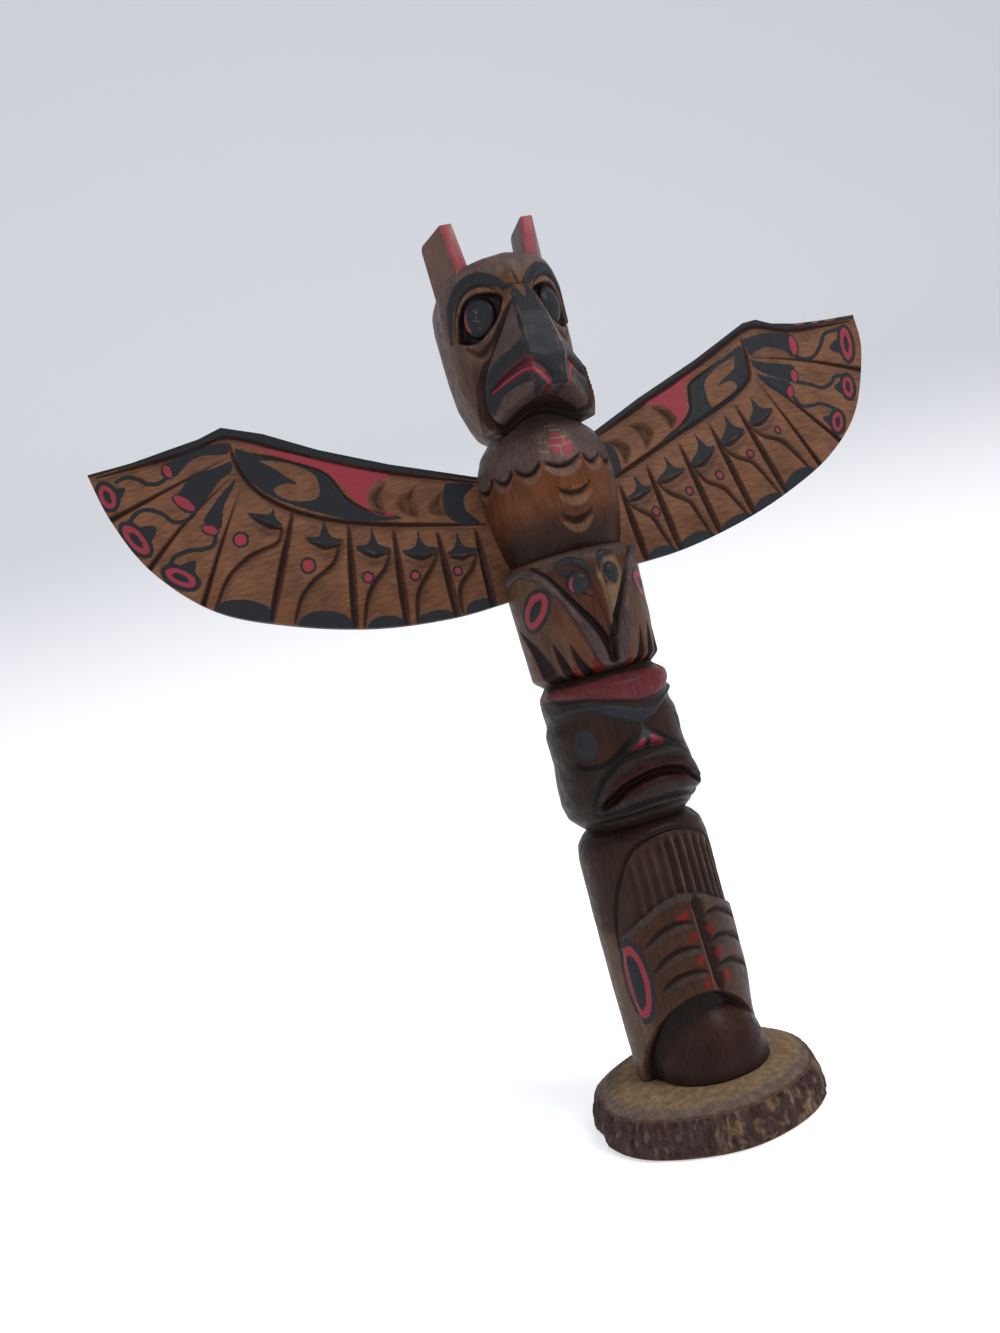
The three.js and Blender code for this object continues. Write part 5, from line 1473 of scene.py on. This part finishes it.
def branch_wood():
    """Bark and sawn wood, whose colours the mesh carries."""
    g = Graph("branch_wood")
    coarse = g.noise(0.32, (1, 1, 0.8), 8)
    fine = g.noise(1.5, (1, 0.5, 1), 8)
    wood = g.stained(g.times(g.span(coarse, 0.3, 0.72, 0.74, 1.2), g.span(fine, 0.3, 0.7, 0.88, 1.12)))
    # Darker in the bark's furrows and other hollows, a painted shade.
    wood = g.mix(g.span(g.layer("hollow"), -0.5, -0.05, 0.7, 0.0), wood, (0.01, 0.007, 0.006))
    return g.finish(wood, 0.85, g.plus(coarse, g.times(fine, 0.6)), 0.9)


def sweep_paint(stage):
    """The floor's colour low down and the backdrop's above it, a little bright of its own."""
    g = Graph("sweep")
    height = g.node("ShaderNodeSeparateXYZ", {0: g.place}).outputs[2]
    pale = g.mix(g.span(height, 0.15, 1.0), stage.floor, stage.backdrop)
    return g.surface({"Base Color": pale, "Roughness": 0.9, "Emission Color": pale,
                      "Emission Strength": 0.45})


# ---- stage ----------------------------------------------------------------------------------------
# Where the camera is, how far round, above and tilted it looks, in degrees, and its lens in mm.
CAMERA = {"place": (-141.48, -495.35, 215.12), "around": -10.99, "above": -1.46, "roll": -14.8,
          "lens": 28.5958}
SENSOR = 36  # mm from the top of the picture to its bottom
# The sweep in metres: how far in front it starts, where it turns up, how round, how long and wide.
SWEEP = {"start": -3, "bend": 1.4, "radius": 1.2, "length": 9, "half_width": 9}
LIGHTS = {"key": ((0.9, -1.2, 1.5), 1.0), "fill": ((-1.4, -1.0, 0.8), 1.4)}  # place and size in metres
LIT = (0, 0, 0.2)  # what both lights point at


def build_camera(context):
    """The camera, tilted as if the pole were held at a slant."""
    data = bpy.data.cameras.new("camera")
    data.sensor_fit, data.sensor_height, data.lens = "VERTICAL", SENSOR, CAMERA["lens"]
    data.clip_start, data.clip_end = 0.01, 50
    around, above, roll = (CAMERA[k] * DEGREE for k in ("around", "above", "roll"))
    right = Vector((math.cos(around), math.sin(around), 0))
    level = Vector((math.sin(around), -math.cos(around), 0))
    back = level * math.cos(above) + Vector((0, 0, math.sin(above)))
    across = right * math.cos(roll) + back.cross(right) * math.sin(roll)
    turned = Matrix((across, back.cross(across), back)).transposed().to_4x4()
    camera = add_object("camera", data)
    camera.matrix_world = Matrix.Translation(Vector(CAMERA["place"]) * MM) @ turned
    context.scene.camera = camera


def build_sweep(stage):
    """A sheet of pale floor that turns up into a backdrop."""
    start, bend, radius = SWEEP["start"], SWEEP["bend"], SWEEP["radius"]
    bm = bmesh.new()
    bmesh.ops.create_grid(bm, x_segments=2, y_segments=60, size=1)
    for v in bm.verts:
        along = (v.co.y + 1) / 2 * SWEEP["length"] + start
        turned = max(0.0, min((along - bend) / radius, math.pi / 2))
        past = max(0.0, along - bend - radius * math.pi / 2)
        v.co = (v.co.x * SWEEP["half_width"], min(along, bend) + radius * math.sin(turned),
                radius * (1 - math.cos(turned)) + past)
    mesh = bpy.data.meshes.new("sweep")
    bm.to_mesh(mesh)
    bm.free()
    mesh.polygons.foreach_set("use_smooth", [True] * len(mesh.polygons))
    mesh.materials.append(sweep_paint(stage))
    sweep = add_object("sweep", mesh)


def build_lights(context, stage):
    """Two soft lights, and the even light of the room."""
    for name, (place, size) in LIGHTS.items():
        light = bpy.data.lights.new(f"{name}_light", "AREA")
        light.energy, light.size = getattr(stage, f"{name}_power"), size
        lamp = add_object(light.name, light)
        lamp.location = place
        lamp.rotation_euler = (Vector(LIT) - Vector(place)).to_track_quat("-Z", "Y").to_euler()
    world = bpy.data.worlds.new("studio")
    world.use_nodes = True
    world.node_tree.nodes["Background"].inputs[0].default_value = (*srgb(186, 188, 194), 1)
    context.scene.world = world
    context.scene.view_settings.view_transform = "Standard"


# ---- the add-on ------------------------------------------------------------------------------------
def carve(context, name, mesh_of):
    """Adds one figure of the pole."""
    settings = context.scene.totem_pole
    add_piece(name, mesh_of(settings), [pole_wood(settings)], "pole")
    return {"FINISHED"}


class TOTEM_OT_head(bpy.types.Operator):
    """Carve and paint the eagle's head with its hooked beak"""

    bl_idname = "totem.head"
    bl_label = "Eagle's Head"
    bl_options = {"REGISTER", "UNDO"}

    def execute(self, context):
        return carve(context, "head", head_mesh)


class TOTEM_OT_breast(bpy.types.Operator):
    """Carve the eagle's feathered breast"""

    bl_idname = "totem.breast"
    bl_label = "Feathered Breast"
    bl_options = {"REGISTER", "UNDO"}

    def execute(self, context):
        return carve(context, "breast", breast_mesh)


class TOTEM_OT_hawk(bpy.types.Operator):
    """Carve and paint the hawk between the raised bands"""

    bl_idname = "totem.hawk"
    bl_label = "Hawk"
    bl_options = {"REGISTER", "UNDO"}

    def execute(self, context):
        return carve(context, "hawk", hawk_mesh)


class TOTEM_OT_mask(bpy.types.Operator):
    """Carve and paint the wide-mouthed mask under its red brim"""

    bl_idname = "totem.mask"
    bl_label = "Mask"
    bl_options = {"REGISTER", "UNDO"}

    def execute(self, context):
        return carve(context, "mask", mask_mesh)


class TOTEM_OT_lower(bpy.types.Operator):
    """Carve and paint the lower figure with its flutes, ribs and knee"""

    bl_idname = "totem.lower"
    bl_label = "Lower Figure"
    bl_options = {"REGISTER", "UNDO"}

    def execute(self, context):
        return carve(context, "lower", lower_mesh)


class TOTEM_OT_ears(bpy.types.Operator):
    """Shape the two upright ears"""

    bl_idname = "totem.ears"
    bl_label = "Ears"
    bl_options = {"REGISTER", "UNDO"}

    def execute(self, context):
        settings = context.scene.totem_pole
        wood = ear_paint("ear_wood", srgb(82, 60, 52), srgb(104, 74, 54), settings)
        crimson = ear_paint("ear_red", srgb(118, 50, 56), srgb(140, 108, 98), settings)
        for ear in EARS:
            name = "ear_left" if ear["side"] < 0 else "ear_right"
            add_piece(name, ear_mesh(**ear), [wood, crimson], "pole")
        return {"FINISHED"}


class TOTEM_OT_wings(bpy.types.Operator):
    """Carve and paint the two wing boards"""

    bl_idname = "totem.wings"
    bl_label = "Wings"
    bl_options = {"REGISTER", "UNDO"}

    def execute(self, context):
        settings = context.scene.totem_pole
        for name, plan in WINGS.items():
            mesh, material = wing_mesh(plan, settings), wing_wood(settings, plan["side"])
            add_piece(f"wing_{name}_board", mesh, [material], f"wing_{name}")
        return {"FINISHED"}


class TOTEM_OT_base(bpy.types.Operator):
    """Cut the slice of branch that the pole stands on"""

    bl_idname = "totem.base"
    bl_label = "Branch Slice"
    bl_options = {"REGISTER", "UNDO"}

    def execute(self, context):
        settings = context.scene.totem_pole
        add_piece("branch_slice", base_mesh(settings), [branch_wood()], "base")
        return {"FINISHED"}


class TOTEM_OT_stage(bpy.types.Operator):
    """Set up the pale floor, the backdrop, the lights and the camera"""

    bl_idname = "totem.stage"
    bl_label = "Stage"
    bl_options = {"REGISTER", "UNDO"}

    def execute(self, context):
        build_sweep(context.scene.totem_stage)
        build_lights(context, context.scene.totem_stage)
        build_camera(context)
        return {"FINISHED"}


class TOTEM_PT_panel(bpy.types.Panel):
    """Sizes, colours and pieces of the totem pole"""

    bl_idname = "TOTEM_PT_panel"
    bl_label = "Totem Pole"
    bl_space_type = "VIEW_3D"
    bl_region_type = "UI"
    bl_category = "Totem"

    def draw(self, context):
        scene = context.scene
        for heading, group in (("Totem Pole", scene.totem_pole), ("Stage", scene.totem_stage)):
            box = self.layout.box()
            box.label(text=heading)
            for name in group.__annotations__:
                box.prop(group, name)
        column = self.layout.column(align=True)
        for operator in OPERATORS:
            column.operator(operator.bl_idname)


OPERATORS = (TOTEM_OT_head, TOTEM_OT_ears, TOTEM_OT_breast, TOTEM_OT_hawk, TOTEM_OT_mask, TOTEM_OT_lower,
             TOTEM_OT_wings, TOTEM_OT_base, TOTEM_OT_stage)
CLASSES = (TotemSettings, TotemStageSettings, *OPERATORS, TOTEM_PT_panel)


def register():
    """Adds the classes and the two groups of settings."""
    for cls in CLASSES:
        bpy.utils.register_class(cls)
    bpy.types.Scene.totem_pole = PointerProperty(type=TotemSettings)
    bpy.types.Scene.totem_stage = PointerProperty(type=TotemStageSettings)


def unregister():
    """Takes them away again."""
    del bpy.types.Scene.totem_stage
    del bpy.types.Scene.totem_pole
    for cls in reversed(CLASSES):
        bpy.utils.unregister_class(cls)


def main():
    """Builds every piece and the stage."""
    register()
    bpy.ops.totem.head()
    bpy.ops.totem.ears()
    bpy.ops.totem.breast()
    bpy.ops.totem.hawk()
    bpy.ops.totem.mask()
    bpy.ops.totem.lower()
    bpy.ops.totem.wings()
    bpy.ops.totem.base()
    bpy.ops.totem.stage()


if __name__ == "__main__":
    main()
